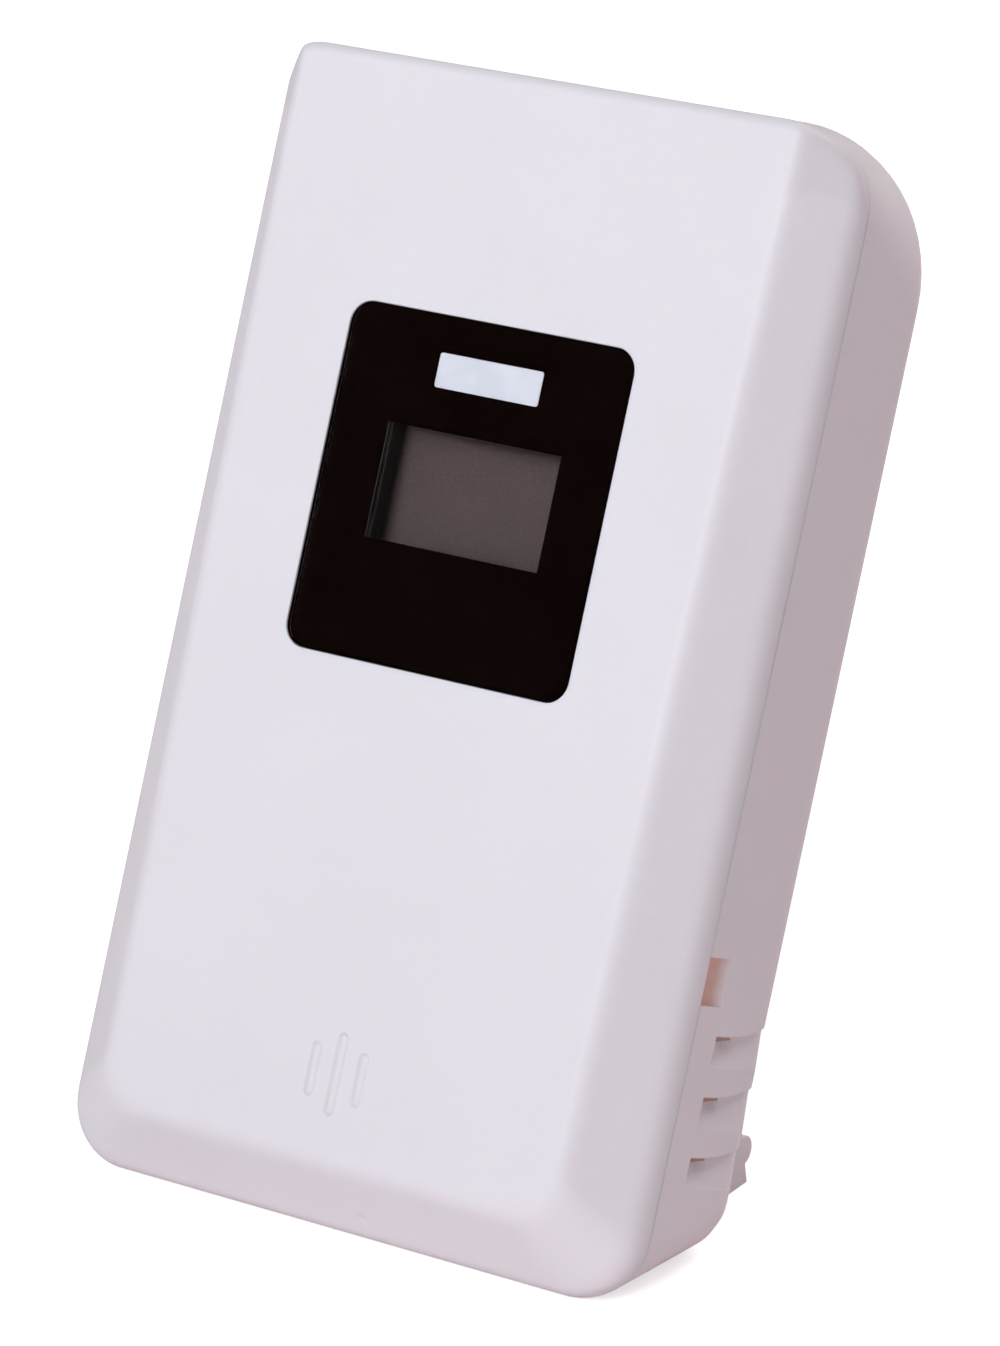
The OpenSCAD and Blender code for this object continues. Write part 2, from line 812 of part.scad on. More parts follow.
// Sloping louvre faces, each with an open slit under its upper edge
module louvre_cuts() {
    for (k = [0:louvre_n - 1]) {
        z0 = louvre_z + k * louvre_pitch;
        z1 = z0 + louvre_h;
        translate([0, case_d + cut, 0])
            rotate([90, 0, 0])
                linear_extrude(height = case_d + cut - louvre_y)
                    polygon([[side_x, z0], [side_x + 2 * cut, z0],
                        [side_x + 2 * cut, z1], [side_x - louvre_depth, z1]]);
        block([side_x - 2 * wall, side_x + cut], [louvre_y, louvre_y + slit_l], [z1 - slit_h, z1]);
    }
}

// Wedge at the parting line for opening the case
module pry_cut() {
    translate([0, 0, pry_z])
        linear_extrude(height = pry_h)
            polygon([[side_x - louvre_depth, parting_y - cut], [side_x + cut, parting_y - cut],
                [side_x + cut, parting_y + pry_reach], [side_x, parting_y + pry_reach],
                [side_x - louvre_depth, parting_y]]);
}

// Display

module display_lens() {
    color([0.2, 0.2, 0.22, 0.4]) lean_back()
        translate([0, 0, lens_z])
            round_plate(lens_w, lens_h, lens_r, lens_inset, mask_y);
}

module display_mask() {
    color(print_black) lean_back() difference() {
        translate([0, 0, lens_z])
            round_plate(lens_w, lens_h, lens_r, mask_y, tape_y);
        translate([0, 0, window_z])
            slab(window_w, window_h, mask_y - cut, tape_y + cut);
    }
}

module lens_tape() {
    color("dimgray") lean_back() difference() {
        translate([0, 0, lens_z])
            round_plate(lens_w, lens_h, lens_r, tape_y, lens_seat_y);
        translate([0, 0, lens_z])
            slab(lens_w - 2 * tape_band, lens_h - 2 * tape_band, tape_y - cut, lens_seat_y + cut);
    }
}

module lcd_glass() {
    color([0.33, 0.29, 0.29]) lean_back()
        translate([0, 0, window_z])
            slab(lcd_w, lcd_h, lcd_y, lcd_y + lcd_t);
}

// Frame that carries the glass on the board, with a collar up to the lens
module lcd_holder() {
    color(print_black) lean_back() translate([0, 0, window_z]) difference() {
        union() {
            slab(collar_w, collar_h, collar_y, lcd_y);
            slab(holder_w, holder_h, front_wall + fit_gap, board_y);
        }
        slab(view_w, view_h, collar_y - cut, lcd_y + cut);
        slab(lcd_w + 2 * solder_gap, lcd_h + 2 * solder_gap, lcd_y, board_y + cut);
    }
}

module zebra_strip() {
    color("silver") lean_back()
        translate([0, 0, zebra_z])
            slab(lcd_w - 2 * fit_gap, zebra_h, lcd_y + lcd_t, board_y);
}

// Board and its parts

module main_board() {
    color(board_green) lean_back() difference() {
        translate([0, 0, (board_z + board_top) / 2])
            slab(board_w, board_h, board_y, board_back);
        both_sides()
            for (z = board_screw_zs)
                translate([board_screw_x, 0, z])
                    bar_y(clear_r, board_y - cut, board_back + cut);
    }
}

// Domed cover over the controller chip
module controller_blob() {
    ball_r = (blob_r * blob_r + blob_h * blob_h) / (2 * blob_h);
    color(print_black) lean_back() translate([blob_x, board_back, part_z])
        intersection() {
            translate([0, blob_h - ball_r, 0])
                sphere(r = ball_r, $fn = 160);
            slab(2 * blob_r, 2 * blob_r, 0, blob_h);
        }
}

// Watch crystal lying on the board, with its two bent leads
module crystal() {
    color(steel) lean_back()
        translate([crystal_x, board_back + crystal_r, part_z]) {
            rotate([180, 0, 0])
                cylinder(r = crystal_r, h = crystal_l);
            for (sx = [-1, 1])
                translate([sx * crystal_r / 2, 0, 0]) {
                    cylinder(r = lead_r, h = lead_l);
                    translate([0, 0, lead_l])
                        bar_y(lead_r, -crystal_r, lead_r);
                }
        }
}

module capacitors() {
    color("navy") lean_back()
        for (k = [0, 1])
            translate([cap_x, 0, part_z - k * (2 * cap_r + part_gap)])
                bar_y(cap_r, board_back, board_back + cap_h);
}

// Small radio board on pins above the main board
module rf_module() {
    color("darkgreen") lean_back() translate([rf_x, 0, rf_z]) {
        slab(rf_w, rf_h, rf_y, rf_back);
        for (k = [-1.5:1:1.5])
            translate([k * rf_pin_step, 0, rf_inset - rf_h / 2])
                bar_y(rf_pin_r, board_back, rf_y);
        translate([rf_inset + rf_can_r - rf_w / 2, 0, 0])
            bar_y(rf_can_r, rf_y, rf_back + rf_can_h);
    }
}

// Bent wire from the radio board along the top of the case
module antenna() {
    rise = case_h - front_wall - antenna_gap - antenna_bend - rf_z;
    color("darkorange") lean_back()
        translate([rf_x + rf_w / 2 - rf_inset, rf_back + antenna_r, rf_z]) {
            cylinder(r = antenna_r, h = rise);
            translate([antenna_bend, 0, rise])
                rotate([90, 0, 180])
                    rotate_extrude(angle = 90)
                        translate([antenna_bend, 0])
                            circle(r = antenna_r);
            translate([0, 0, rise + antenna_bend])
                bar_x(antenna_r, antenna_bend, antenna_run);
        }
}

// Thermistor bead on two leads, close behind the louvres
module temperature_probe() {
    color("goldenrod") lean_back()
        translate([board_w / 2 - bead_inset, board_y + board_t / 2, bead_z]) {
            sphere(r = bead_r);
            for (sx = [-1, 1])
                translate([sx * bead_r / 2, 0, 0])
                    cylinder(r = lead_r, h = board_z - bead_z - solder_gap);
        }
}

// Batteries

// Cells lie crosswise: the lower one points right, the upper one left
module battery_cells() {
    color([0.2, 0.2, 0.22]) lean_back()
        for (k = [0, 1])
            mirror([k, 0, 0])
                translate([cell_tip_x - cell_l, cell_y, cell_zs[k]]) {
                    bar_x(cell_d / 2, 0, cell_l - tip_l);
                    bar_x(tip_r, cell_l - tip_l - solder_gap, cell_l);
                }
}

// Flat contact with a solder tab down to the board
module contact_plate() {
    slab(contact_t, plate_w, bay_floor_y + fit_gap, cell_y + plate_w / 2);
    slab(contact_t, tab_w, board_back, bay_floor_y + fit_gap + cut);
}

module battery_plates() {
    color(steel) lean_back()
        for (k = [0, 1])
            mirror([k, 0, 0])
                translate([bay_l / 2 - solder_gap - contact_t / 2, 0, cell_zs[k]])
                    contact_plate();
}

module battery_springs() {
    color(steel) lean_back()
        for (k = [0, 1])
            mirror([1 - k, 0, 0])
                translate([bay_l / 2 - solder_gap - contact_t / 2, 0, cell_zs[k]]) {
                    contact_plate();
                    translate([-contact_t / 2, cell_y, 0])
                        spring_tube();
                }
}

// Cone-shaped spring from the plate towards the cell, one unbroken tube
function spring_point(i) =
    let (t = i / spring_steps, a = 360 * i / spring_rings, r = blend(spring_r0, spring_r1, t))
    [-spring_wire_r / 2 - spring_run * t, r * cos(a), r * sin(a)];
function spring_least_gap() = min([
    for (i = [0:spring_steps], j = [0:spring_steps])
        if (j - i > spring_rings / 2)
            norm(spring_point(i) - spring_point(j)) - 2 * spring_wire_r
]);
module spring_tube() {
    rings = [for (i = [0:spring_steps])
        let (
            p = spring_point(i),
            a = 360 * i / spring_rings,
            out = [0, cos(a), sin(a)]
        )
        [for (k = [0:spring_sides - 1])
            p + spring_wire_r * (cos(360 * k / spring_sides) * out
                + sin(360 * k / spring_sides) * [1, 0, 0])]];
    loft(rings);
    translate([0, spring_r0, 0])
        bar_x(spring_wire_r, -spring_wire_r, 0);
}

// Battery door

// Outline of the door with its screw tab, grown by a gap
module door_shape(y0, y1, gap) {
    mid_z = (door_z0 + door_z1) / 2;
    translate([0, 0, mid_z])
        round_plate(door_w + 2 * gap, door_z1 - door_z0 + 2 * gap, door_r + gap, y0, y1);
    translate([0, 0, door_z1])
        round_plate(door_tab_w + 2 * gap, 2 * door_tab_h + 2 * gap, door_r + gap, y0, y1);
}

module battery_door() {
    rim_w = bay_l - 2 * slide_gap;
    rim_h = bay_h - 2 * slide_gap;
    rim_y = door_y - door_rim_h;
    mid_z = (bay_z + bay_top) / 2;
    color(shade_white) lean_back() difference() {
        union() {
            door_shape(door_y + 2 * solder_gap, case_d, 0);
            translate([0, 0, mid_z])
                difference() {
                    slab(rim_w, rim_h, rim_y, door_y + cut);
                    slab(rim_w - 2 * door_rim, rim_h - 2 * door_rim, rim_y - cut, door_y + cut);
                }
            translate([0, 0, door_screw_z])
                bar_y(door_boss_r, door_boss_y + solder_gap, case_d);
        }
        for (k = [0:ridge_n - 1])
            translate([0, 0, door_z1 - ridge_down - k * ridge_pitch])
                slab(ridge_l, ridge_w, case_d - ridge_depth, case_d + cut);
        translate([0, 0, door_screw_z]) {
            bar_y(screw_r + fit_gap, door_boss_y - cut, case_d + cut);
            bar_y(head_hole_r, door_seat_y, case_d + cut);
        }
    }
}

module door_screw() {
    color(steel) lean_back()
        translate([0, 0, door_screw_z])
            screw(case_d, door_screw_l);
}

// Controls on the board, reached through the floor of the battery bay

module channel_switch() {
    color(steel) lean_back() translate([switch_x, 0, control_z]) difference() {
        slab(switch_w, switch_h, board_back, switch_y);
        slab(knob_w + 2 * switch_step + 2 * slide_gap, knob_h + 2 * slide_gap,
            well_y, switch_y + cut);
    }
}

module channel_knob() {
    color(print_black) lean_back()
        translate([switch_x - switch_step, 0, control_z])
            slab(knob_w, knob_h, well_y + slide_gap, switch_y + knob_up);
}

module button_switches() {
    color("dimgray") lean_back()
        for (x = [reset_x, unit_x])
            translate([x, 0, control_z]) difference() {
                slab(tact_w, tact_w, board_back, tact_y);
                bar_y(button_r + slide_gap, tact_well_y, tact_y + cut);
            }
}

module button_plunger(x) {
    lean_back()
        translate([x, 0, control_z])
            bar_y(button_r, tact_well_y + slide_gap + button_travel, tact_y + button_up);
}

module reset_button() {
    color(print_black)
        button_plunger(reset_x);
}

module unit_button() {
    color("firebrick")
        button_plunger(unit_x);
}

// Stand

module stand() {
    color(white) lean_back()
        translate([0, hinge_y, stand_hinge_z])
            rotate([stand_open, 0, 0])
                stand_leg();
}

// The folded leg hangs down from its hinge, its outer face flush with the back
module stand_leg() {
    out = stand_hinge_in;
    inner = out - stand_t;
    foot_in = foot_gap - stand_recess + stand_hinge_in;
    rotate([90, 0, 90])
        translate([0, 0, -stand_w / 2])
            linear_extrude(height = stand_w)
                polygon([
                    [out, heel], [out, -stand_l - foot_skew * out],
                    [foot_in, -stand_l - foot_skew * foot_in], [foot_in, foot_l - stand_l],
                    [inner, foot_l + inner - foot_in - stand_l], [inner, heel]
                ]);
    bar_x(stand_knuckle_r, -stand_w / 2, stand_w / 2);
    translate([0, out, foot_l - grip_drop - stand_l])
        bar_x(stand_grip_r, -stand_w / 2, stand_w / 2);
    both_sides()
        bar_x(stand_pin_r, stand_w / 2 - cut, stand_w / 2 + slide_gap + pin_l);
}

// Fasteners

// Pan-head screw whose head ends at depth y and whose shank runs to the front
module screw(y, l) {
    translate([0, y - screw_head_h, 0]) {
        bar_y(screw_head_r, 0, screw_head_h);
        bar_y(screw_r, -l, cut / 2);
    }
}

module case_screws() {
    color(steel) lean_back() both_sides() {
        translate([upper_screw_x, 0, upper_screw_z])
            screw(seat_y + screw_head_h, case_screw_l);
        translate([lower_screw_x, 0, lower_screw_z])
            screw(seat_y + screw_head_h, case_screw_l);
    }
}

module board_screws() {
    color(steel) lean_back() both_sides()
        for (z = board_screw_zs)
            translate([board_screw_x, 0, z])
                screw(board_back + screw_head_h, board_screw_l);
}

front_cover();
rear_cover();
display_lens();
display_mask();
lens_tape();
lcd_glass();
lcd_holder();
zebra_strip();
main_board();
controller_blob();
crystal();
capacitors();
rf_module();
antenna();
temperature_probe();
battery_cells();
battery_springs();
battery_plates();
battery_door();
door_screw();
channel_switch();
channel_knob();
button_switches();
reset_button();
unit_button();
stand();
case_screws();
board_screws();
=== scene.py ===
"""Looks of the wireless remote thermometer sensor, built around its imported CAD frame.

Pieces are modelled upright in case coordinates (x right, y from the front face to the
back, z up from the front bottom edge) and leaned back on the base when they are finished.
"""

import json
import math

import bmesh
import bpy
from bpy.props import FloatProperty, FloatVectorProperty, IntProperty, PointerProperty
from mathutils import Matrix, Vector


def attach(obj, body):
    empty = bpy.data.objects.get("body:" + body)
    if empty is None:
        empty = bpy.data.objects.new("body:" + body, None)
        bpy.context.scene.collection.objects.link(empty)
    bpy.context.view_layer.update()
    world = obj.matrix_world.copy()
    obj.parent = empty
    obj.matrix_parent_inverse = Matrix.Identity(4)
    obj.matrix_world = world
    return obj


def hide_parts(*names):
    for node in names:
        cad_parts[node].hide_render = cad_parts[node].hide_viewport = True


bl_info = {
    "name": "Remote Thermometer Sensor",
    "version": (1, 0, 0),
    "blender": (4, 5, 0),
    "location": "3D View > Sidebar > Sensor",
    "description": "Builds the case, display, battery parts and studio of a remote sensor",
    "category": "Object",
}

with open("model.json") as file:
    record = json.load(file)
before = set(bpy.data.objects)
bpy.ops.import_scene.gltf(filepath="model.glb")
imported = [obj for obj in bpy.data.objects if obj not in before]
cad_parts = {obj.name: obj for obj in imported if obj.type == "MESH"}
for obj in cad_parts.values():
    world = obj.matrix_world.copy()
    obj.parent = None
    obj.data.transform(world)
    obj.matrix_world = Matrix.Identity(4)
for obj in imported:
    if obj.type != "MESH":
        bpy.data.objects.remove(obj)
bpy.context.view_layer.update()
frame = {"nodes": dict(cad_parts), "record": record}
MM = 0.001
LEAST_R = 0.4 * MM  # smallest corner radius of an outline
MERGE = 0.001 * MM  # points closer than this become one
HAIR = 0.02 * MM  # overlap that keeps a cut clean
FLAT = math.radians(0.2)  # faces within this angle become one
THROUGH = 10 * MM  # reach of a cut through thin walls


def mm(name, default):
    """A length property, its default given in millimetres."""
    return FloatProperty(name=name, description=f"{name}, in metres", default=default * MM,
                         min=0.0, unit="LENGTH", precision=5)


def degrees(name, default):
    """An angle property, its default given in degrees."""
    return FloatProperty(name=name, description=f"{name}, in radians",
                         default=math.radians(default), subtype="ANGLE")


def fraction(name, default, most=1.0):
    """A property that is a share of another size."""
    return FloatProperty(name=name, description=f"{name}, up to {most}", default=default,
                         min=0.01, max=most, subtype="FACTOR")


def colour(name, red, green, blue):
    """A linear colour property."""
    return FloatVectorProperty(name=name, description=f"{name}, as a linear colour",
                               default=(red, green, blue), min=0.0, max=1.0, size=3,
                               subtype="COLOR")


def brightness(name, default, unit="NONE"):
    """A property for a light's power or a glow."""
    return FloatProperty(name=name, description=f"{name}, none at 0", default=default, min=0.0,
                         unit=unit)


class CaseSizes(bpy.types.PropertyGroup):
    """Sizes of the moulded case."""

    height: mm("Height of the front outline", 100)
    width: mm("Width of the front outline", 58.2)
    depth: mm("Depth from the front face to the back", 20)
    lean: degrees("Lean of the standing case", 22.5)
    front_wall: mm("Wall of the front cover", 2.4)
    flare: mm("Widening of each side towards the back", 0.5)
    top_rise: mm("Rise of the top from front to back", 1.4)
    front_r: mm("Corner radius of the front outline", 6)
    rear_top_r: mm("Corner radius of the rear outline's top", 14)
    rear_bottom_r: mm("Corner radius of the rear outline's bottom", 4.5)
    rear_edge_r: mm("Radius round the back face", 2.5)
    bevel_drop: mm("Depth of the side and bottom bevels", 5.2)
    parting: mm("Depth of the parting line", 6.8)
    face_top_w: mm("Width of the flat face at the top", 50)
    face_bottom_w: mm("Width of the flat face at the bottom", 46.2)
    bottom_bevel: mm("Height of the bottom bevel", 6.2)
    face_corner_r: mm("Radius of the face's bottom corners", 4.5)
    top_edge_r: mm("Radius of the front top edge", 1.05)
    face_crease: fraction("Share of the bevel that the face crease rounds", 0.16, 0.4)
    outer_crease: fraction("Share of the bevel that the outer crease rounds", 0.2, 0.4)
    corner_blend: fraction("Softness of the bevels' upper ends", 0.22)
    seam: mm("Chamfer along the parting line", 0.025)
    groove_step: mm("Spacing of the marker grooves", 2.4)
    groove_r: mm("Radius of a marker groove's round floor", 0.6)
    groove_depth: mm("Depth of a marker groove", 0.28)
    groove_long: mm("Length of the middle groove", 7.4)
    groove_short: mm("Length of the outer grooves", 4.9)
    groove_z: mm("Height of the grooves' centre", 13.9)
    gate_mark_x: mm("Sideways place of the gate mark", 3.4)
    gate_mark_up: fraction("Share of the bottom bevel below the gate mark", 0.35)
    gate_mark_r: mm("Radius of the gate mark's hollow", 2.4)
    gate_mark_t: mm("Depth of the gate mark", 0.09)
    door_screw_z: mm("Height of the battery door's screw", 62.734)
    upper_screw_x: mm("Sideways place of the upper screws", 20.5)
    upper_screw_z: mm("Height of the upper screws", 89.5)
    lower_screw_x: mm("Sideways place of the lower screws", 17)
    lower_screw_z: mm("Height of the lower screws", 17)
    screw_seat: mm("Depth of the case screws' seats", 13.95)
    board_back: mm("Depth of the board's back", 6.9)
    board_screw_x: mm("Sideways place of the board screws", 21.6)
    board_screw_low: mm("Height of the lower board screws", 28.9)
    board_screw_high: mm("Height of the upper board screws", 81.6)
    rim_r: mm("Rounding of the rear cover's rims", 0.15)
    pry_z: mm("Lower end of the pry slots", 26.65)
    pry_h: mm("Height of the pry slots", 4.1)
    pry_reach: mm("Reach of the pry slots behind the parting line", 3.5)
    louvre_z: mm("Lower end of the lowest louvre", 11.1)
    louvre_pitch: mm("Spacing of the louvres", 5.2)
    louvre_h: mm("Height of a louvre", 2.65)
    louvre_depth: mm("Depth of a louvre at its front end", 1.2)
    louvre_runout: mm("Depth of a louvre at the back edge", 0.22)
    louvre_back: mm("Distance of the louvres behind the parting line", 3.7)
    louvre_end: mm("Distance of the louvres' ends before the back", 0.4)
    louvre_rise: mm("Rise of a louvre's upper edge at the back", 1.45)
    slit_l: mm("Length of the louvre slits", 3.7)
    slit_h: mm("Height of the louvre slits at the front", 0.6)
    slit_end: mm("Height of the louvre slits at the back", 0.45)
    slit_through: fraction("Share of a louvre slit that goes through the wall", 0.35)
    side_wall: mm("Wall of the rear cover's sides", 1.8)
    stand_edge: mm("Rounding of the stand's edges", 0.3)
    door_edge: mm("Rounding of the battery door's edges", 0.15)
    corner_steps: IntProperty(name="Corner steps", default=18, min=4, max=32,
                              description="Faces round each corner of the front cover")


class DisplaySizes(bpy.types.PropertyGroup):
    """Sizes of the display stack."""

    lens_w: mm("Width of the clear panel", 28.3)
    lens_h: mm("Height of the clear panel", 30.0)
    lens_z: mm("Height of the panel's centre", 63.65)
    lens_r: mm("Corner radius of the panel", 1.95)
    lens_edge: mm("Rounding of the panel's edges", 0.06)
    lens_front: mm("Depth of the panel's front", 0.1)
    lens_back: mm("Depth of the panel's back", 0.66)
    print_front: mm("Depth of the printed layer's front", 0.7)
    print_back: mm("Depth of the printed layer's back", 0.82)
    seat: mm("Depth of the seat under the panel", 1.0)
    gap: mm("Gap round the panel", 0.15)
    window_w: mm("Width of the clear window", 17.4)
    window_h: mm("Height of the clear window", 10)
    window_z: mm("Height of the window's centre", 63.95)
    collar_w: mm("Width of the display holder's collar", 21.6)
    collar_h: mm("Height of the display holder's collar", 14.2)
    collar_r: mm("Corner radius of the collar", 0.3)
    collar_fit: mm("Clearance of the collar in its opening", 0.2)
    holder_edge: mm("Rounding of the holder's edges", 0.12)
    view_w: mm("Width of the holder's opening", 17.0)
    view_h: mm("Height of the holder's opening", 10.4)
    edge_gap: mm("Gap that shows round the panel", 0.05)
    glass_w: mm("Width of the display glass", 23.8)
    glass_h: mm("Height of the display glass", 16.4)
    glass_r: mm("Corner radius of the display glass", 0.2)
    glass_edge: mm("Rounding of the display glass's edges", 0.05)
    glass_y: mm("Depth of the display glass's front", 3.0)
    layer_gap: mm("Air between the display's glass and its grey layer", 0.05)
    layer_y: mm("Depth of the display's grey layer", 3.9)
    glass_back: mm("Depth of the display's back", 4.8)
    badge_w: mm("Width of the plain light field", 10.4)
    badge_h: mm("Height of the plain light field", 3.0)
    badge_r: mm("Corner radius of the plain light field", 0.25)
    badge_x: mm("Sideways place of the plain light field", 0.2)
    badge_z: mm("Height of the plain light field's centre", 74.1)
    badge_t: mm("Thickness of the plain light field", 0.03)


class HardwareSizes(bpy.types.PropertyGroup):
    """Sizes of the cells, contacts and screws."""

    cell_l: mm("Length of a cell with its tip", 44.5)
    cell_r: mm("Radius of a cell", 5.25)
    cell_y: mm("Depth of the cells' axes", 13.35)
    cell_tip: mm("Sideways place of the tips", 24.05)
    tip_r: mm("Radius of a cell's tip", 1.8)
    tip_l: mm("Length of a cell's tip", 0.8)
    cell_low: mm("Height of the lower cell's axis", 38.334)
    cell_high: mm("Height of the upper cell's axis", 49.334)
    plate_x: mm("Sideways place of the contacts' inner faces", 24.1)
    plate_t: mm("Thickness of the contacts", 0.4)
    plate_w: mm("Width of the contacts", 8.4)
    plate_y0: mm("Depth of the contacts' front end", 8.2)
    plate_y1: mm("Depth of the contacts' back end", 17.55)
    plate_edge: mm("Rounding of the contacts' edges", 0.1)
    tab_w: mm("Width of the solder tabs", 2.4)
    tab_y: mm("Depth of the solder tabs' ends", 6.9)
    spring_r0: mm("Radius of a spring at its foot", 3.4)
    spring_r1: mm("Radius of a spring at its tip", 1.8)
    spring_run: mm("Length of a spring", 2.9)
    wire_r: mm("Radius of the spring wire", 0.3)
    head_r: mm("Radius of the screw heads", 1.9)
    head_h: mm("Height of the screw heads", 1.3)
    shank_r: mm("Radius of the screw shanks", 1.0)
    thread: mm("Pitch of the screw threads", 0.7)
    door_screw_l: mm("Shank of the door screw", 6)
    case_screw_l: mm("Shank of a case screw", 8)
    board_screw_l: mm("Shank of a board screw", 3.6)


class FinishColours(bpy.types.PropertyGroup):
    """Colours of the finishes."""

    shell: colour("White plastic of the case", 0.80, 0.752, 0.785)
    # painted glow and shade: this warm tone stands for light through the thin wall and shade in
    # openings and crevices
    recess: colour("Warm tone inside the openings", 0.62, 0.40, 0.34)
    black: colour("Black print behind the panel", 0.0062, 0.0022, 0.0018)
    badge: colour("Plain light field in the badge's place", 0.80, 0.80, 0.88)
    display: colour("Blank liquid crystal", 0.115, 0.083, 0.079)
    board: colour("Solder mask", 0.02, 0.11, 0.045)
    steel: colour("Bare metal", 0.60, 0.60, 0.61)
    jacket: colour("Wrap of the cells", 0.028, 0.03, 0.036)
    button: colour("Red plunger", 0.36, 0.02, 0.018)
    floor: colour("Pale studio floor", 0.87, 0.86, 0.865)
    room: colour("Light of the room", 1.0, 0.95, 0.96)
    bounce: colour("Light that the floor throws back on the sensor", 0.79, 0.66, 0.665)


class StudioSettings(bpy.types.PropertyGroup):
    """Camera and lights."""

    azimuth: degrees("Camera's turn to the right", 32.85)
    elevation: degrees("Camera's height angle", 20.58)
    distance: mm("Distance from the camera to its aim", 514.8)
    focal: FloatProperty(name="Focal length", description="Focal length for a 36 mm sensor",
                         default=160.35, min=10.0, subtype="DISTANCE_CAMERA")
    aim: FloatVectorProperty(name="Aim", description="Point that the camera looks at", size=3,
                             default=(1.587 * MM, 17.0 * MM, 44.152 * MM), subtype="XYZ",
                             unit="LENGTH")
    key_power: brightness("Power of the front softbox", 18.7, "POWER")
    right_power: brightness("Power of the softbox on the right", 3.2, "POWER")
    left_power: brightness("Power of the softbox on the left", 2.2, "POWER")
    rear_power: brightness("Power of the softbox behind", 12.3, "POWER")
    back_power: brightness("Power of the low softbox behind", 3.6, "POWER")
    floor_glow: brightness("Light that the lit floor adds", 0.7)
    world: brightness("Strength of the room's light", 0.02)


# Shading

def math_node(operation, swapped=False):
    """An operator that adds a Math node."""
    def operate(self, other):
        first, second = (other, self) if swapped else (self, other)
        return self.owner.node("ShaderNodeMath", {"operation": operation}, {0: first, 1: second})
    return operate


class Shade:
    """A shader socket whose arithmetic adds Math nodes."""

    def __init__(self, owner, socket):
        self.owner = owner
        self.socket = socket

    __add__ = math_node("ADD")
    __sub__ = math_node("SUBTRACT")
    __mul__ = math_node("MULTIPLY")
    __truediv__ = math_node("DIVIDE")
    __gt__ = math_node("GREATER_THAN")
    __lt__ = math_node("LESS_THAN")
    __radd__ = math_node("ADD", swapped=True)
    __rsub__ = math_node("SUBTRACT", swapped=True)
    __rmul__ = math_node("MULTIPLY", swapped=True)


class Finish:
    """One procedural material round a Principled shader."""

    def __init__(self, name, **constants):
        self.material = bpy.data.materials.new(name)
        self.material.use_nodes = True
        self.tree = self.material.node_tree
        self.tree.nodes.clear()
        self.shader = self.tree.nodes.new("ShaderNodeBsdfPrincipled")
        self.output = self.tree.nodes.new("ShaderNodeOutputMaterial")
        self.tree.links.new(self.shader.outputs["BSDF"], self.output.inputs["Surface"])
        for socket, value in constants.items():
            self.set(socket.replace("_", " "), value)

    def node(self, kind, settings=None, sockets=None, output=0):
        """Adds a node of any type with its settings and sockets and gives one output."""
        made = self.tree.nodes.new(kind)
        for key, value in (settings or {}).items():
            if key == "stops":
                self._ramp(made.color_ramp, value)
            else:
                setattr(made, key, value)
        for key, value in (sockets or {}).items():
            self._feed(made.inputs[key], value)
        return Shade(self, made.outputs[output])

    def _ramp(self, ramp, stops):
        while len(ramp.elements) < len(stops):
            ramp.elements.new(1.0)
        for element, (place, value) in zip(ramp.elements, stops):
            element.position = place
            element.color = (value, value, value, 1.0)

    def _feed(self, socket, value):
        if isinstance(value, Shade):
            self.tree.links.new(value.socket, socket)
        elif hasattr(socket.default_value, "__len__") and len(socket.default_value) == 4:
            socket.default_value = (*value[:3], 1.0)
        else:
            socket.default_value = value

    def set(self, socket, value):
        """Feeds one socket of the shader."""
        self._feed(self.shader.inputs[socket], value)

    def surface(self, base, roughness, normal=None):
        """Feeds the shader's colour, roughness and normal, and gives the finish."""
        self.set("Base Color", base)
        self.set("Roughness", roughness)
        if normal:
            self.set("Normal", normal)
        return self

    def unseen(self, shader):
        """Gives rays that don't come from the camera another shader."""
        seen = self.node("ShaderNodeLightPath", output="Is Camera Ray")
        either = self.node("ShaderNodeMixShader", None,
                           {0: seen, 1: shader, 2: Shade(self, self.shader.outputs["BSDF"])})
        self.tree.links.new(either.socket, self.output.inputs["Surface"])

    def coords(self):
        """Object coordinates, in metres."""
        return self.node("ShaderNodeTexCoord", output="Object")

    def noise(self, scale, detail=3.0, roughness=0.55):
        """Noise of that many waves in a metre, from 0 to 1."""
        return self.node("ShaderNodeTexNoise", {"noise_dimensions": "3D"},
                         {"Vector": self.coords(), "Scale": scale, "Detail": detail,
                          "Roughness": roughness})

    def ramp(self, value, *stops):
        """A value mapped through grey stops."""
        return self.node("ShaderNodeValToRGB", {"stops": stops}, {"Fac": value})

    def specks(self, scale, size):
        """A mask of scattered dots, that many in a metre."""
        return self.node("ShaderNodeTexVoronoi", {"feature": "F1"},
                         {"Vector": self.coords(), "Scale": scale}, output="Distance") < size

    def mix(self, share, first, second):
        """Two colours mixed."""
        return self.node("ShaderNodeMix", {"data_type": "RGBA"}, {0: share, 6: first, 7: second},
                         output=2)

    def bump(self, height, strength, distance, normal=None):
        """A bumped normal."""
        sockets = {"Height": height, "Strength": strength, "Distance": distance}
        if normal:
            sockets["Normal"] = normal
        return self.node("ShaderNodeBump", None, sockets)

    def soft_edge(self, radius):
        """A normal rounded over edges, and a mask of those edges."""
        soft = self.node("ShaderNodeBevel", {"samples": 4}, {"Radius": radius})
        hard = self.node("ShaderNodeNewGeometry", output="Normal")
        dot = self.node("ShaderNodeVectorMath", {"operation": "DOT_PRODUCT"},
                        {0: soft, 1: hard}, output="Value")
        return soft, self.ramp(1.0 - dot, (0.002, 0.0), (0.08, 1.0))

    def crevice_shade_mask(self, reach):
        """A mask of narrow hollows, from ambient occlusion, where shade is painted."""
        open_sky = self.node("ShaderNodeAmbientOcclusion", {"samples": 4, "only_local": True},
                             {"Distance": reach}, output="AO")
        return self.ramp(1.0 - open_sky, (0.35, 0.0), (0.9, 1.0))


FINISHES = {}


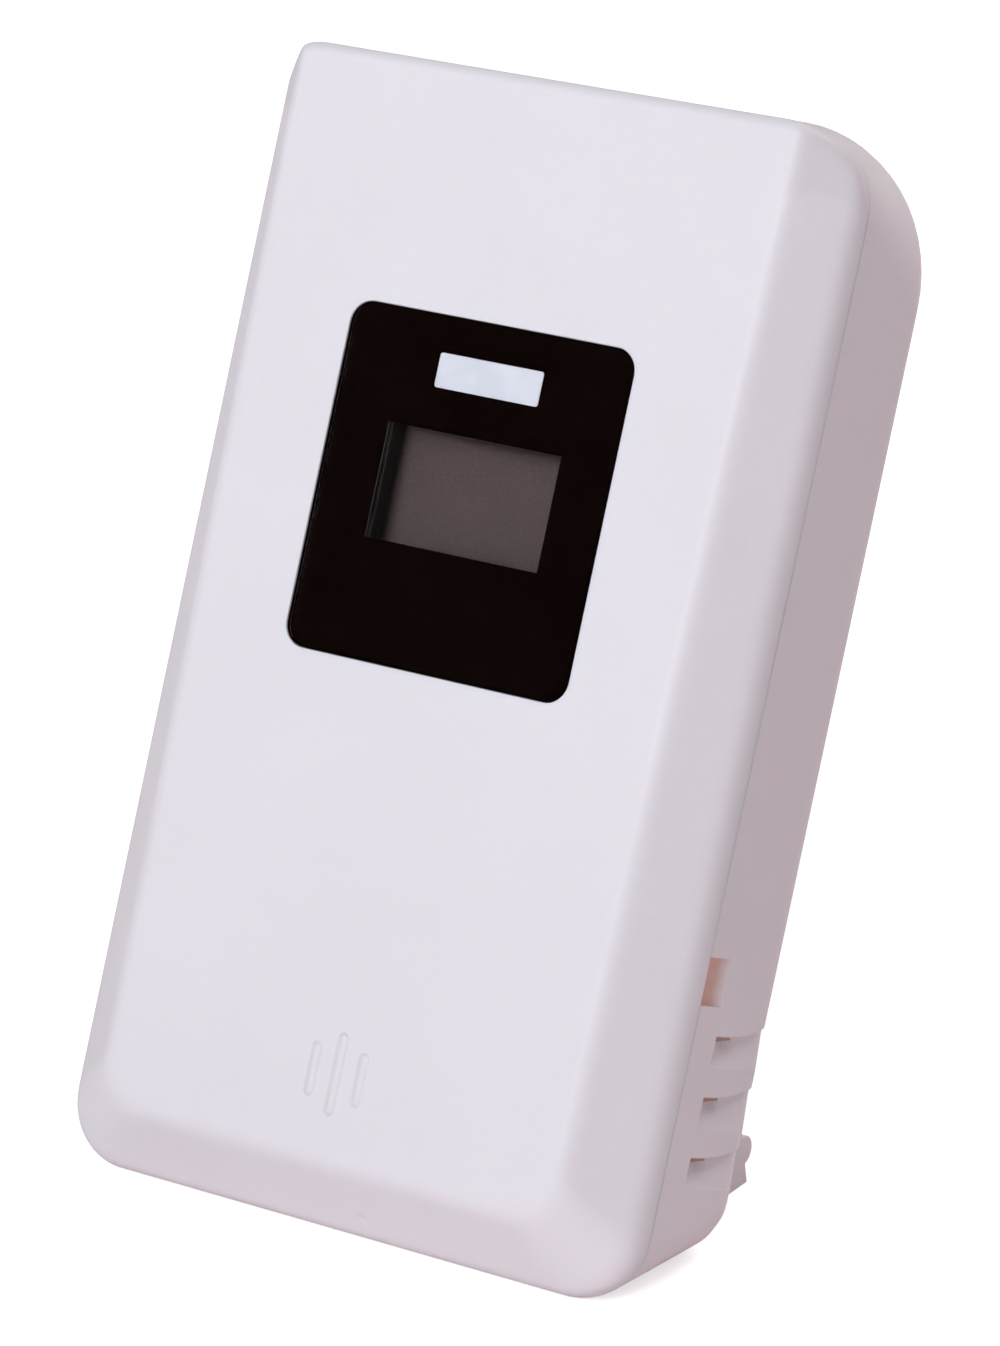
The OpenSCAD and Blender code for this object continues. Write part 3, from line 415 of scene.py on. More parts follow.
def finish(maker):
    """Keeps each finish, so that pieces share one material."""
    def shared(*settings):
        key = (maker.__name__, *settings)
        if key not in FINISHES:
            FINISHES[key] = maker(*settings).material
        return FINISHES[key]
    return shared


def colours():
    """The chosen colours."""
    return bpy.context.scene.sensor_colours


def tinted(value, factor):
    """A colour made lighter or darker."""
    return tuple(min(1.0, channel * factor) for channel in value)


@finish
def white_plastic():
    """Satin white plastic: faint mottle, fine spark grain, dust, worn edges and painted warm shade
    in crevices.
    """
    f = Finish("white_plastic", Subsurface_Weight=0.22, Subsurface_Scale=1.6 * MM, IOR=1.42,
               Subsurface_Radius=(1.0, 0.42, 0.3))
    shell = colours().shell
    mottle = f.noise(55.0, 4.0)
    grain = f.noise(5200.0, 2.0)
    soft, edge = f.soft_edge(0.22 * MM)
    hollow = f.crevice_shade_mask(1.6 * MM)
    base = f.mix(f.ramp(mottle, (0.3, 0.0), (0.7, 1.0)), tinted(shell, 0.985), tinted(shell, 1.012))
    base = f.mix(edge * 0.35, base, tinted(shell, 1.06))
    dust = f.specks(150.0, 0.018) * (f.noise(38.0, 1.0) > 0.58)
    base = f.mix(dust * 0.35, base, tinted(shell, 0.55))
    # painted shade: the crevice mask tints narrow hollows towards the warm recess colour
    return f.surface(f.mix(hollow * 0.65, base, colours().recess),
                     0.46 + 0.07 * mottle + 0.05 * grain + 0.1 * edge,
                     f.bump(grain, 0.05, 0.02 * MM, soft))


@finish
def recess_painted_glow(name, start, reach, deep, glow):
    """White plastic in an opening with a painted warm glow and painted shade for light through the
    wall, fading with depth.
    """
    f = Finish(name, Emission_Strength=1.0)
    recess, lean = colours().recess, case().lean
    along = f.node("ShaderNodeVectorMath", {"operation": "DOT_PRODUCT"},
                   {0: f.coords(), 1: (0.0, math.cos(lean), -math.sin(lean))}, output="Value")
    fade = f.ramp((along - start) / reach, (0.6, 0.0), (1.0, 1.0))
    mottle = f.noise(900.0, 3.0)
    # painted glow and shade: the warm tone and the emission below stand for light through the wall,
    # fading deeper in
    warm = f.mix(mottle, tinted(recess, 0.9 * deep), tinted(recess, 1.1 * deep))
    f.set("Emission Color", f.mix(fade, tinted(recess, glow), (0.0, 0.0, 0.0)))
    return f.surface(f.mix(fade, warm, colours().shell), 0.45 + 0.12 * mottle,
                     f.bump(mottle, 0.1, 0.02 * MM))


@finish
def clear_panel():
    """Clear plastic panel with faint ripples and haze."""
    f = Finish("clear_panel", Transmission_Weight=1.0, IOR=1.16)
    return f.surface((1.0, 1.0, 1.0), 0.015 + 0.02 * f.noise(1500.0, 3.0),
                     f.bump(f.noise(120.0, 2.0), 0.03, 0.02 * MM))


@finish
def black_print():
    """Black print behind the panel: no gloss of its own, faint pinholes and cloudiness."""
    f = Finish("print_black", Specular_IOR_Level=0.0)
    tone = colours().black
    cloud = f.noise(240.0, 3.0)
    base = f.mix(cloud, tinted(tone, 0.8), tinted(tone, 1.2))
    pinholes = f.specks(260.0, 0.022)
    return f.surface(f.mix(pinholes * 0.5, base, (0.05, 0.035, 0.03)), 0.45 + 0.15 * cloud)


@finish
def display_grey():
    """Blank liquid crystal: a sandy reflector under glass."""
    f = Finish("lcd_grey", Specular_IOR_Level=0.12)
    tone = colours().display
    sand = f.noise(9000.0, 2.0, 0.7)
    cloud = f.noise(160.0, 2.0)
    grain = f.ramp(sand, (0.36, 0.0), (0.64, 1.0))
    base = f.mix(grain, tinted(tone, 0.8), tinted(tone, 1.2))
    return f.surface(f.mix(cloud * 0.3, base, tinted(tone, 1.12)), 0.4 + 0.15 * sand,
                     f.bump(sand, 0.1, 0.01 * MM))


@finish
def plain_finish(name, tone, roughness, grain_scale, metal=0.0):
    """A rigid surface with grain, blotchy gloss and lighter worn edges."""
    f = Finish(name, Metallic=metal)
    mottle = f.noise(grain_scale / 12.0, 4.0)
    grain = f.noise(grain_scale, 2.0)
    soft, edge = f.soft_edge(0.15 * MM)
    base = f.mix(mottle, tinted(tone, 0.85), tinted(tone, 1.15))
    return f.surface(f.mix(edge * 0.4, base, tinted(tone, 1.6)),
                     roughness + 0.12 * mottle + 0.08 * grain - 0.1 * edge,
                     f.bump(grain, 0.12, 0.02 * MM, soft))


OWN_FINISHES = {"white_plastic": white_plastic, "clear_lens": clear_panel,
                "print_black": black_print, "lcd_grey": display_grey}


def finish_of(slot):
    """The finish of one of the record's material slots."""
    if slot in OWN_FINISHES:
        return OWN_FINISHES[slot]()
    c = colours()
    tones = {
        "tape_grey": ((0.12, 0.12, 0.12), 0.6, 1500.0),
        "black_plastic": ((0.012, 0.006, 0.004), 0.42, 3500.0),
        "zebra_rubber": ((0.45, 0.45, 0.43), 0.6, 2500.0),
        "board_green": (tuple(c.board), 0.35, 1800.0),
        "radio_green": ((0.015, 0.09, 0.05), 0.35, 1800.0),
        "steel": (tuple(c.steel), 0.25, 3000.0, 1.0),
        "sleeve_blue": ((0.02, 0.03, 0.16), 0.35, 2500.0),
        "wire_orange": ((0.60, 0.17, 0.02), 0.4, 2500.0),
        "epoxy_bead": ((0.30, 0.15, 0.03), 0.3, 1800.0),
        "cell_jacket": (tuple(c.jacket), 0.3, 2200.0),
        "button_red": (tuple(c.button), 0.35, 2500.0),
    }
    return plain_finish(slot, *tones[slot])


# Modelling

def case():
    """The case's sizes."""
    return bpy.context.scene.sensor_case


def lean_back():
    """Stands the upright case on its slanted base."""
    c = case()
    base_y = (c.bevel_drop + c.depth - c.rear_edge_r) / 2
    base_z = (base_y - c.bevel_drop) * math.tan(c.lean)
    return Matrix.Rotation(-c.lean, 4, "X") @ Matrix.Translation((0, -base_y, -base_z))


def lerp(first, second, share):
    """A value between two."""
    return first + (second - first) * share


def roof_at(y, inset=0.0):
    """Height of the case's top at a depth, with its rounded front edge."""
    c = case()
    edge = max(c.top_edge_r - inset, LEAST_R)
    short = 1 - min(1.0, max(0.0, (y - inset) / edge))
    rise = max(0.0, min(y, c.depth - c.rear_edge_r) - c.bevel_drop)
    slope = c.top_rise / (c.depth - c.rear_edge_r - c.bevel_drop)
    return c.height + rise * slope - inset - edge * (1 - math.sqrt(1 - short * short))


def bevel_outline(y, share, inset=0.0):
    """Outline of the front cover on its bevels: share runs from the face to the outer crease."""
    c = case()
    angle = math.atan2(c.bevel_drop, (c.width - (c.face_top_w + c.face_bottom_w) / 2) / 2)
    pull = inset * math.tan(angle / 2)
    return (y, lerp(c.face_top_w / 2 - pull, c.width / 2 - inset, share),
            lerp(c.face_bottom_w / 2 - pull, c.width / 2 - inset, share),
            lerp(c.bottom_bevel + pull, inset, share), roof_at(y, inset),
            max(LEAST_R, lerp(LEAST_R, c.front_r - inset, share)),
            max(LEAST_R, lerp(c.face_corner_r - inset, c.front_r - inset, share)))


def side_outline(y, drawn=0.0):
    """Outline of the case behind the outer crease, drawn in by a wall or a chamfer."""
    c = case()
    back = c.depth - c.rear_edge_r
    share = (min(y, back) - c.bevel_drop) / (back - c.bevel_drop)
    half = c.width / 2 + c.flare * share - drawn
    return (y, half, half, (y - c.bevel_drop) * math.tan(c.lean) + drawn / math.cos(c.lean),
            roof_at(y) - drawn, max(LEAST_R, lerp(c.front_r, c.rear_top_r, share) - drawn),
            max(LEAST_R, lerp(c.front_r, c.rear_bottom_r, share) - drawn))


def side_at(y):
    """Half width of the case at a depth, round its back edge too."""
    c = case()
    back = c.depth - c.rear_edge_r
    past = min(max(0.0, y - back), c.rear_edge_r)
    return (c.width / 2 + c.flare * (min(y, back) - c.bevel_drop) / (back - c.bevel_drop)
            - c.rear_edge_r + math.sqrt(c.rear_edge_r ** 2 - past ** 2))


def crease(first, corner, last, steps=7):
    """Outlines on a curve that rounds off a corner between two others."""
    outlines = []
    for step in range(steps + 1):
        s = step / steps
        rounded = [a * (1 - s) ** 2 + 2 * b * s * (1 - s) + c * s * s
                   for a, b, c in zip(first, corner, last)]
        rounded[4] = roof_at(rounded[0])
        outlines.append(tuple(rounded))
    return outlines


def clip_bevels(verts, outline, steps):
    """Ends an outline's sides at the top along the round corners of the outer crease."""
    c = case()
    y, top_half, low_half, low, high, top_r, _ = outline
    outer, radius = max(top_half, c.width / 2), max(top_r, c.front_r)
    blend = c.corner_blend * (outer - top_half)
    for side in (-1, 1):
        corner = sorted((v for v in verts if v.co.x * side > 0),
                        key=lambda v: (v.co.z, -abs(v.co.x)))
        for k, v in enumerate(corner):
            turn = k / steps * math.pi / 2
            across, up = outer - radius * (1 - math.cos(turn)), high - radius * (1 - math.sin(turn))
            half = lerp(low_half, top_half, (up - low) / (high - low))
            v.co = (side * (across + half - math.hypot(across - half, blend)) / 2, y, up)


def outline_ring(bm, outline, steps, clipped):
    """Edges of one outline: a quad whose corners are rounded."""
    y, top_half, low_half, low, high, top_r, low_r = outline
    quad = bmesh.ops.create_grid(bm, x_segments=1, y_segments=1, size=1.0)["verts"]
    for v in quad:
        half = top_half if v.co.y > 0 else low_half
        v.co = (half * v.co.x, y, high if v.co.y > 0 else low)
    middle = (low + high) / 2
    corners = [v for v in quad if v.co.z > middle], [v for v in quad if v.co.z < middle]
    found = set()
    for group, radius in zip(corners, (top_r, low_r)):
        rounded = bmesh.ops.bevel(bm, geom=group, offset=radius, offset_type="OFFSET",
                                  segments=steps, profile=0.5, affect="VERTICES", material=-1)
        found.update(rounded["verts"])
    face = {f for v in found if v.is_valid for f in v.link_faces}.pop()
    if clipped:
        clip_bevels([v for v in face.verts if v.co.z > middle], outline, steps)
    edges = list(face.edges)
    bmesh.ops.delete(bm, geom=[face], context="FACES_ONLY")
    return edges


def bridged(bm, rings):
    """A closed solid through rings of edges."""
    for first, second in zip(rings, rings[1:]):
        bmesh.ops.bridge_loops(bm, edges=first + second)
    for ring in (rings[0], rings[-1]):
        bmesh.ops.contextual_create(bm, geom=ring)
    bmesh.ops.recalc_face_normals(bm, faces=bm.faces)
    return bm


def loft(outlines, steps, clipped=False):
    """A closed solid through outlines, from front to back."""
    bm = bmesh.new()
    return bridged(bm, [outline_ring(bm, outline, steps, clipped) for outline in outlines])


def skin(sections):
    """A closed solid through sections of equal point counts."""
    bm = bmesh.new()
    rings = []
    for section in sections:
        points = [bm.verts.new(point) for point in section]
        rings.append([bm.edges.new(pair) for pair in zip(points, points[1:] + points[:1])])
    return bridged(bm, rings)


def slab(x, y, z):
    """A box between two corners."""
    bm = bmesh.new()
    size = Matrix.Diagonal((x[1] - x[0], y[1] - y[0], z[1] - z[0], 1.0))
    centre = Vector((x[0] + x[1], y[0] + y[1], z[0] + z[1])) / 2
    bmesh.ops.create_cube(bm, size=1.0, matrix=Matrix.Translation(centre) @ size)
    return bm


def plate(x, z, width, height, y0, y1, radius=0.0, steps=10):
    """A plate round a centre, between two depths, with square or round corners."""
    bm = slab((x - width / 2, x + width / 2), (y0, y1), (z - height / 2, z + height / 2))
    if radius:
        edges = [e for e in bm.edges if abs(e.verts[0].co.y - e.verts[1].co.y) > (y1 - y0) / 2]
        bmesh.ops.bevel(bm, geom=edges, offset=radius, offset_type="OFFSET", segments=steps,
                        profile=0.5, affect="EDGES", material=-1)
    return bm


def on_axis(bm, start, toward):
    """Moves a solid made along z to an axis, its normals outward."""
    bmesh.ops.recalc_face_normals(bm, faces=bm.faces)
    turn = Vector(toward).to_track_quat("Z", "Y").to_matrix().to_4x4()
    bmesh.ops.transform(bm, matrix=Matrix.Translation(start) @ turn, verts=bm.verts)
    return bm


def turned(profile, start, toward, steps=40):
    """A solid turned from a profile of (along, radius) points, set on an axis."""
    bm = bmesh.new()
    points = [bm.verts.new((radius, 0.0, along)) for along, radius in profile]
    edges = [bm.edges.new(pair) for pair in zip(points, points[1:])]
    bmesh.ops.spin(bm, geom=points + edges, cent=(0, 0, 0), axis=(0, 0, 1), angle=math.tau,
                   steps=steps, use_merge=True)
    bmesh.ops.remove_doubles(bm, verts=bm.verts, dist=MERGE)
    return on_axis(bm, start, toward)


def coil(start_r, end_r, run, turns, wire_r, start, toward):
    """A tapered spring: a ring swept round an axis and then drawn in."""
    bm = bmesh.new()
    steps = int(30 * turns)
    ring = bmesh.ops.create_circle(bm, segments=8, radius=wire_r, matrix=Matrix.Translation(
        (start_r, 0, 0)) @ Matrix.Rotation(math.pi / 2, 4, "X"))["verts"]
    bmesh.ops.spin(bm, geom=ring + list({e for v in ring for e in v.link_edges}), cent=(0, 0, 0),
                   axis=(0, 0, 1), dvec=(0, 0, run / steps), angle=math.tau * turns, steps=steps)
    for v in bm.verts:
        reach = math.hypot(v.co.x, v.co.y)
        drawn = reach + (end_r - start_r) * min(1.0, max(0.0, v.co.z / run))
        v.co.xy *= drawn / reach
    bmesh.ops.holes_fill(bm, edges=bm.edges)
    return on_axis(bm, start, toward)


def joined(parts):
    """Several meshes as one."""
    whole = bmesh.new()
    for part in parts:
        mesh = bpy.data.meshes.new("part")
        part.to_mesh(mesh)
        part.free()
        whole.from_mesh(mesh)
        bpy.data.meshes.remove(mesh)
    return whole


def cross_screws(places, seat, shank):
    """Pan-head screws with a cross recess and a ridged shank, their heads to the back."""
    w = bpy.context.scene.sensor_hardware
    head, rise, core, ridge = w.head_r, w.head_h, w.shank_r, w.thread
    profile = [(-shank, 0.0), (-shank, 0.5 * core), (-shank + core, 0.8 * core)]
    along = -shank + core + ridge / 2
    while along < -2 * ridge:
        profile += [(along, core), (along + ridge / 2, 0.78 * core)]
        along += ridge
    profile += [(0.0, 0.78 * core), (0.0, 0.94 * head), (0.12 * rise, head), (0.45 * rise, head)]
    for step in range(1, 7):
        angle = step * math.pi / 12
        profile.append((rise * (0.45 + 0.55 * math.sin(angle)),
                        head * (0.55 + 0.45 * math.cos(angle))))
    profile.append((rise, 0.0))
    model = worked(turned(profile, (0, 0, 0), (0, 1, 0)))
    arm, wide, deep = 0.62 * head, 0.13 * head, 0.35 * rise
    carve(model, slab((-arm, arm), (deep, 2 * rise), (-wide, wide)),
          slab((-wide, wide), (deep, 2 * rise), (-arm, arm)))
    screws = bmesh.new()
    for x, z in places:
        placed = model.data.copy()
        placed.transform(Matrix.Translation((x, seat, z)))
        screws.from_mesh(placed)
        bpy.data.meshes.remove(placed)
    bpy.data.objects.remove(model)
    return screws


def capsule(radius, x, y, z0, z1):
    """An upright bar with round ends, for scooping a groove."""
    bm = bmesh.new()
    bmesh.ops.create_uvsphere(bm, u_segments=24, v_segments=16, radius=radius)
    for v in bm.verts:
        v.co.z += z1 if v.co.z > 1e-9 else z0
    bmesh.ops.translate(bm, verts=bm.verts, vec=(x, y, 0.0))
    return bm


def worked(bm, name="work"):
    """A scratch object from a bmesh."""
    mesh = bpy.data.meshes.new(name)
    bm.to_mesh(mesh)
    bm.free()
    piece = bpy.data.objects.new(name, mesh)
    bpy.context.scene.collection.objects.link(piece)
    return piece


def carve(piece, *cutters, operation="DIFFERENCE"):
    """Cuts solids out of a scratch object, or joins or keeps them."""
    for cutter in cutters:
        if isinstance(cutter, bmesh.types.BMesh):
            cutter = worked(cutter, "cutter")
        step = piece.modifiers.new("carve", "BOOLEAN")
        step.operation = operation
        step.solver = "MANIFOLD"
        step.object = cutter
        bpy.context.view_layer.update()
        made = bpy.data.meshes.new_from_object(
            piece.evaluated_get(bpy.context.evaluated_depsgraph_get()))
        piece.modifiers.clear()
        if not made.polygons:
            raise RuntimeError(f"carving {piece.name} left nothing")
        piece.data = made
        bpy.data.objects.remove(cutter)
    return piece


def reopened(piece, flat=FLAT):
    """A carved scratch object as a bmesh again, its flat faces merged."""
    bm = bmesh.new()
    bm.from_mesh(piece.data)
    bpy.data.objects.remove(piece)
    bmesh.ops.dissolve_limit(bm, angle_limit=flat, verts=bm.verts, edges=bm.edges)
    return bm


def cad_copy(node):
    """A merged copy of a CAD node's mesh, upright in case coordinates."""
    bm = bmesh.new()
    bm.from_mesh(frame["nodes"][node].data)
    bmesh.ops.remove_doubles(bm, verts=bm.verts, dist=MERGE)
    bmesh.ops.dissolve_limit(bm, angle_limit=FLAT, verts=bm.verts, edges=bm.edges)
    bm.transform(lean_back().inverted())
    return bm


def soften(bm, width, segments=2, least=35.0, chosen=None):
    """Rounds a solid's sharp edges."""
    sharp = [e for e in bm.edges if len(e.link_faces) == 2
             and e.calc_face_angle(0.0) > math.radians(least) and (chosen is None or chosen(e))]
    bmesh.ops.bevel(bm, geom=sharp, offset=width, offset_type="OFFSET", segments=segments,
                    profile=0.5, affect="EDGES", clamp_overlap=True, loop_slide=True, material=-1)
    return bm


def piece_of(name, source, body, slot, *nodes, smooth=32.0, materials=None):
    """Leans a piece back, shades it, finishes it by its slot or materials, ties it to its body,
    hides its nodes.
    """
    piece = source if isinstance(source, bpy.types.Object) else worked(source)
    mesh = piece.data
    mesh.transform(lean_back())
    mesh.shade_smooth()
    mesh.set_sharp_from_angle(angle=math.radians(smooth))
    piece.name = mesh.name = name
    parts = [face.material_index for face in mesh.polygons]
    mesh.materials.clear()
    for material in materials or [finish_of(slot)]:
        mesh.materials.append(material)
    mesh.polygons.foreach_set("material_index", parts)
    even = piece.modifiers.new("even_shading", "WEIGHTED_NORMAL")
    even.keep_sharp = True
    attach(piece, body)
    if nodes:
        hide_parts(*nodes)
    return piece


def rounded_copy(name, node, body, slot, radius, segments=2):
    """Finishes a piece that is a CAD node with its sharp edges rounded."""
    return piece_of(name, soften(cad_copy(node), radius, segments), body, slot, node)


# Operators

BEVEL_RINGS = (0.3, 0.4, 0.5, 0.6, 0.7)  # shares of the bevel that keep its upper ends smooth
CREASE_REACH = 0.98  # share of the side that the outer crease takes up before the seam


class BuildFrontCover(bpy.types.Operator):
    """Front cover with rounded creases, panel recess, marker grooves and gate mark"""

    bl_idname = "sensor.front_cover"
    bl_label = "Front cover"

    def execute(self, context):
        c, d = context.scene.sensor_case, context.scene.sensor_display
        shell = worked(loft(self.outlines(c), c.corner_steps, clipped=True))
        wall, drop = c.front_wall, c.bevel_drop
        carve(shell, loft([bevel_outline(wall, 0.0, wall),
                           bevel_outline(drop + 0.4 * wall, 1.0, wall),
                           side_outline(c.depth, wall)], 6))
        spare = 2 * d.gap
        carve(shell, plate(0, d.lens_z, d.lens_w + spare, d.lens_h + spare, -wall, d.seat,
                           d.lens_r + d.gap),
              plate(0, d.window_z, d.collar_w + spare, d.collar_h + spare, -wall, 2 * wall))
        for k in (-1, 0, 1):
            run = (c.groove_short if k else c.groove_long) / 2 - c.groove_r
            carve(shell, capsule(c.groove_r, k * c.groove_step, c.groove_depth - c.groove_r,
                                 c.groove_z - run, c.groove_z + run))
        mark = bmesh.new()
        bmesh.ops.create_uvsphere(mark, u_segments=64, v_segments=64, radius=c.gate_mark_r)
        outward = Vector((0, -c.bottom_bevel, -drop)).normalized() * (c.gate_mark_r - c.gate_mark_t)
        place = (c.gate_mark_x, (1 - c.gate_mark_up) * drop, c.gate_mark_up * c.bottom_bevel)
        bmesh.ops.translate(mark, verts=mark.verts, vec=outward + Vector(place))
        carve(shell, mark)
        piece_of("front_shell", shell, "case", "white_plastic", "front_cover")
        return {"FINISHED"}

    def outlines(self, c):
        """Outlines from the flat face over both creases to the chamfered parting line."""
        drop, face, outer = c.bevel_drop, c.face_crease, 1 - c.outer_crease
        turn = CREASE_REACH * (c.parting - c.seam - drop)
        outlines = crease(bevel_outline(0, -face), bevel_outline(0, 0),
                          bevel_outline(face * drop, face))
        edge = c.top_edge_r / drop
        outlines += [bevel_outline(share * drop, share)
                     for share in (0.5 * (face + edge), edge, *BEVEL_RINGS) if share > face]
        outlines += crease(bevel_outline(outer * drop, outer), bevel_outline(drop, 1),
                           side_outline(drop + turn))
        return outlines + [side_outline(c.parting - c.seam), side_outline(c.parting, c.seam)]


class BuildRearCover(bpy.types.Operator):
    """Rear cover with softened rims, louvres that run out at the back, and openings with painted
    warm glow and shade
    """

    bl_idname = "sensor.rear_cover"
    bl_label = "Rear cover"

    def execute(self, context):
        c = context.scene.sensor_case
        self.start, self.stop = c.parting + c.louvre_back, c.depth - c.louvre_end
        shell = worked(cad_copy("rear_cover"))
        lows = [c.louvre_z + k * c.louvre_pitch for k in range(3)]
        for low in lows:
            for side in (-1, 1):
                carve(shell, self.patch(c, side, low), operation="UNION")
                carve(shell, self.scoop(c, side, low), self.slit(c, side, low + c.louvre_h))
        carve(shell, self.pry(c, -1), self.pry(c, 1))
        bm = reopened(shell)
        for face in bm.faces:
            face.material_index = self.opening(c, face, lows)
        rim = c.depth - HAIR
        soften(bm, c.rim_r, least=50.0, chosen=lambda e: all(v.co.y > rim for v in e.verts))
        parting = c.parting - (c.bevel_drop + c.depth - c.rear_edge_r) / 2
        # painted glow and shade in the pry slots and louvre slits
        slot = recess_painted_glow("pry_ramp", parting, c.pry_reach, 1.12, 0.07)
        slit = recess_painted_glow("louvre_slit", parting, 4 * c.slit_l, 0.8, 0.13)
        piece_of("rear_shell", bm, "case", "white_plastic", "rear_cover",
                 materials=[white_plastic(), slot, slit])
        return {"FINISHED"}

    def depths(self, first, last, count):
        """Evenly spaced depths."""
        return [lerp(first, last, k / (count - 1)) for k in range(count)]

    def hollow(self, c, y):
        """Depth of a louvre and rise of its upper edge, at a depth of the case."""
        share = min(1.0, max(0.0, (y - self.start - MM) / (self.stop - self.start - MM)))
        easy = share * share * (3 - 2 * share)
        return lerp(c.louvre_depth, c.louvre_runout, easy), c.louvre_rise * share * share

    def pry(self, c, side):
        """A pry slot's wedge, deep at the parting line and running out behind it."""
        sections = []
        for y, deep in ((c.parting - 0.1 * MM, c.louvre_depth), (c.parting, c.louvre_depth),
                        (c.parting + c.pry_reach, 0.0)):
            inner, outer = side_at(y) - deep, side_at(y) + MM
            sections.append([(side * x, y, c.pry_z + z) for x, z in (
                (inner, 0.0), (inner, c.pry_h), (outer, c.pry_h), (outer, 0.0))])
        return skin(sections)

    def patch(self, c, side, low):
        """Side wall that closes a louvre before it is scooped anew."""
        back, wall = c.depth - c.rear_edge_r, c.side_wall - 0.05 * MM
        front = self.start - 0.2 * MM
        steps = [back + c.rear_edge_r * math.sin(k * math.pi / 8) for k in range(4)]
        sections = []
        for z in (low - HAIR, low + c.louvre_h + HAIR):
            outer = [(side * side_at(y), y, z) for y in [front, *steps]]
            inner = [(side * (side_at(back) - wall), y, z) for y in (steps[-1], back)]
            sections.append(outer + inner + [(side * (side_at(self.start) - wall), front, z)])
        return skin(sections)

    def scoop(self, c, side, low):
        """A louvre: deep at its front end, running out flush at the back edge."""
        sections = []
        for y in self.depths(self.start, self.stop, 15):
            deep, rise = self.hollow(c, y)
            face, high = side_at(y), low + c.louvre_h + rise
            outer = face + 2 * MM
            sections.append([(side * x, y, z) for x, z in (
                (face + HAIR, low), (face - deep, high), (outer, high), (outer, low))])
        return skin(sections)

    def slit(self, c, side, high):
        """The gap under a louvre's upper edge, through the wall in front, ramping out behind."""
        end = self.start + c.slit_l
        sections = []
        for y in self.depths(self.start, end, 9):
            share = (y - self.start) / c.slit_l
            deep, rise = self.hollow(c, y)
            outer = side_at(y) - 0.3 * deep
            inner = lerp(side_at(y) - c.side_wall - 0.5 * MM, side_at(end) - self.hollow(c, end)[0],
                         max(0.0, (share - c.slit_through) / (1 - c.slit_through)))
            top = high + rise
            gap = lerp(c.slit_h, c.slit_end, share)
            sections.append([(side * x, y, z) for x, z in (
                (inner, top - gap), (inner, top), (outer, top), (outer, top - gap))])
        return skin(sections)

    def opening(self, c, face, lows):
        """Finish of a face: 1 in a pry slot, 2 in a louvre's slit, 0 elsewhere."""
        xs, ys, zs = zip(*[(abs(v.co.x), v.co.y, v.co.z) for v in face.verts])
        if min(xs) < 0.45 * c.width:
            return 0
        if min(zs) > c.pry_z - HAIR and max(zs) < c.pry_z + c.pry_h + HAIR:
            return int(max(ys) < c.parting + c.pry_reach + HAIR)
        sunk = max(xs) < side_at(c.depth) + 2 * MM
        if sunk and min(ys) > self.start - HAIR and max(ys) < self.start + c.slit_l + HAIR:
            for high in (low + c.louvre_h for low in lows):
                if min(zs) > high - c.slit_h - HAIR and max(zs) < high + c.louvre_rise:
                    return 2
        return 0


class BuildDisplay(bpy.types.Operator):
    """Clear panel, black print with its window, plain light field, glass and holder"""

    bl_idname = "sensor.display"
    bl_label = "Display"

    def execute(self, context):
        d = context.scene.sensor_display
        self.panel(d)
        field = plate(d.badge_x, d.badge_z, d.badge_w, d.badge_h, d.print_front - d.badge_t,
                      d.print_front, d.badge_r, 4)
        badge = plain_finish("badge_field", tuple(colours().badge), 0.5, 4000.0)
        piece_of("badge_field", field, "case", "print_black", materials=[badge])
        glass = (0, d.window_z, d.glass_w, d.glass_h)
        cover = plate(*glass, d.glass_y, d.layer_y - d.layer_gap, d.glass_r, 3)
        piece_of("display_glass", soften(cover, d.glass_edge), "case", "clear_lens")
        layer = plate(*glass, d.layer_y, d.glass_back, d.glass_r, 3)
        piece_of("display_layer", soften(layer, d.glass_edge), "case", "lcd_grey", "lcd_glass")
        holder = worked(soften(cad_copy("lcd_holder"), d.holder_edge))
        collar = worked(plate(0, d.window_z, d.collar_w - d.collar_fit, d.collar_h - d.collar_fit,
                              d.seat + d.collar_fit, d.glass_y - HAIR, d.collar_r, 4))
        carve(collar, plate(0, d.window_z, d.view_w, d.view_h, 0, THROUGH))
        carve(holder, collar, operation="UNION")
        piece_of("display_holder", holder, "case", "black_plastic", "lcd_holder")
        return {"FINISHED"}

    def panel(self, d):
        """The clear panel with black sides painted as shade in the gap round it, and the print
        behind it with the window's pale edge.
        """
        spare = 2 * (d.gap - d.edge_gap)
        outline, radius = (0, d.lens_z, d.lens_w + spare, d.lens_h + spare), d.lens_r + spare / 2
        lens = soften(plate(*outline, d.lens_front, d.lens_back, radius), d.lens_edge, least=60.0)
        # painted shade: the panel's side faces take the black print to stand for the shade in the
        # gap round the panel
        for face in lens.faces:
            face.material_index = int(abs(face.normal.y) < 0.3)
        piece_of("panel_lens", lens, "case", "clear_lens", "display_lens",
                 materials=[clear_panel(), black_print()])
        layer = worked(plate(*outline, d.print_front, d.print_back, radius))
        carve(layer, plate(0, d.window_z, d.window_w, d.window_h, 0, THROUGH))
        for face in layer.data.polygons:
            across, up = abs(face.center.x), abs(face.center.z - d.window_z)
            face.material_index = int(abs(face.normal.y) < 0.5 and across < 0.51 * d.window_w
                                      and up < 0.51 * d.window_h)
        pale = plain_finish("window_edge", (0.28, 0.23, 0.20), 0.3, 2500.0)
        piece_of("panel_print", layer, "case", "print_black", "display_mask",
                 materials=[black_print(), pale])


class BuildStand(bpy.types.Operator):
    """Fold-out stand with rounded edges"""

    bl_idname = "sensor.stand"
    bl_label = "Stand"

    def execute(self, context):
        edge = context.scene.sensor_case.stand_edge
        rounded_copy("stand_leg", "stand", "stand", "white_plastic", edge, 3)
        return {"FINISHED"}


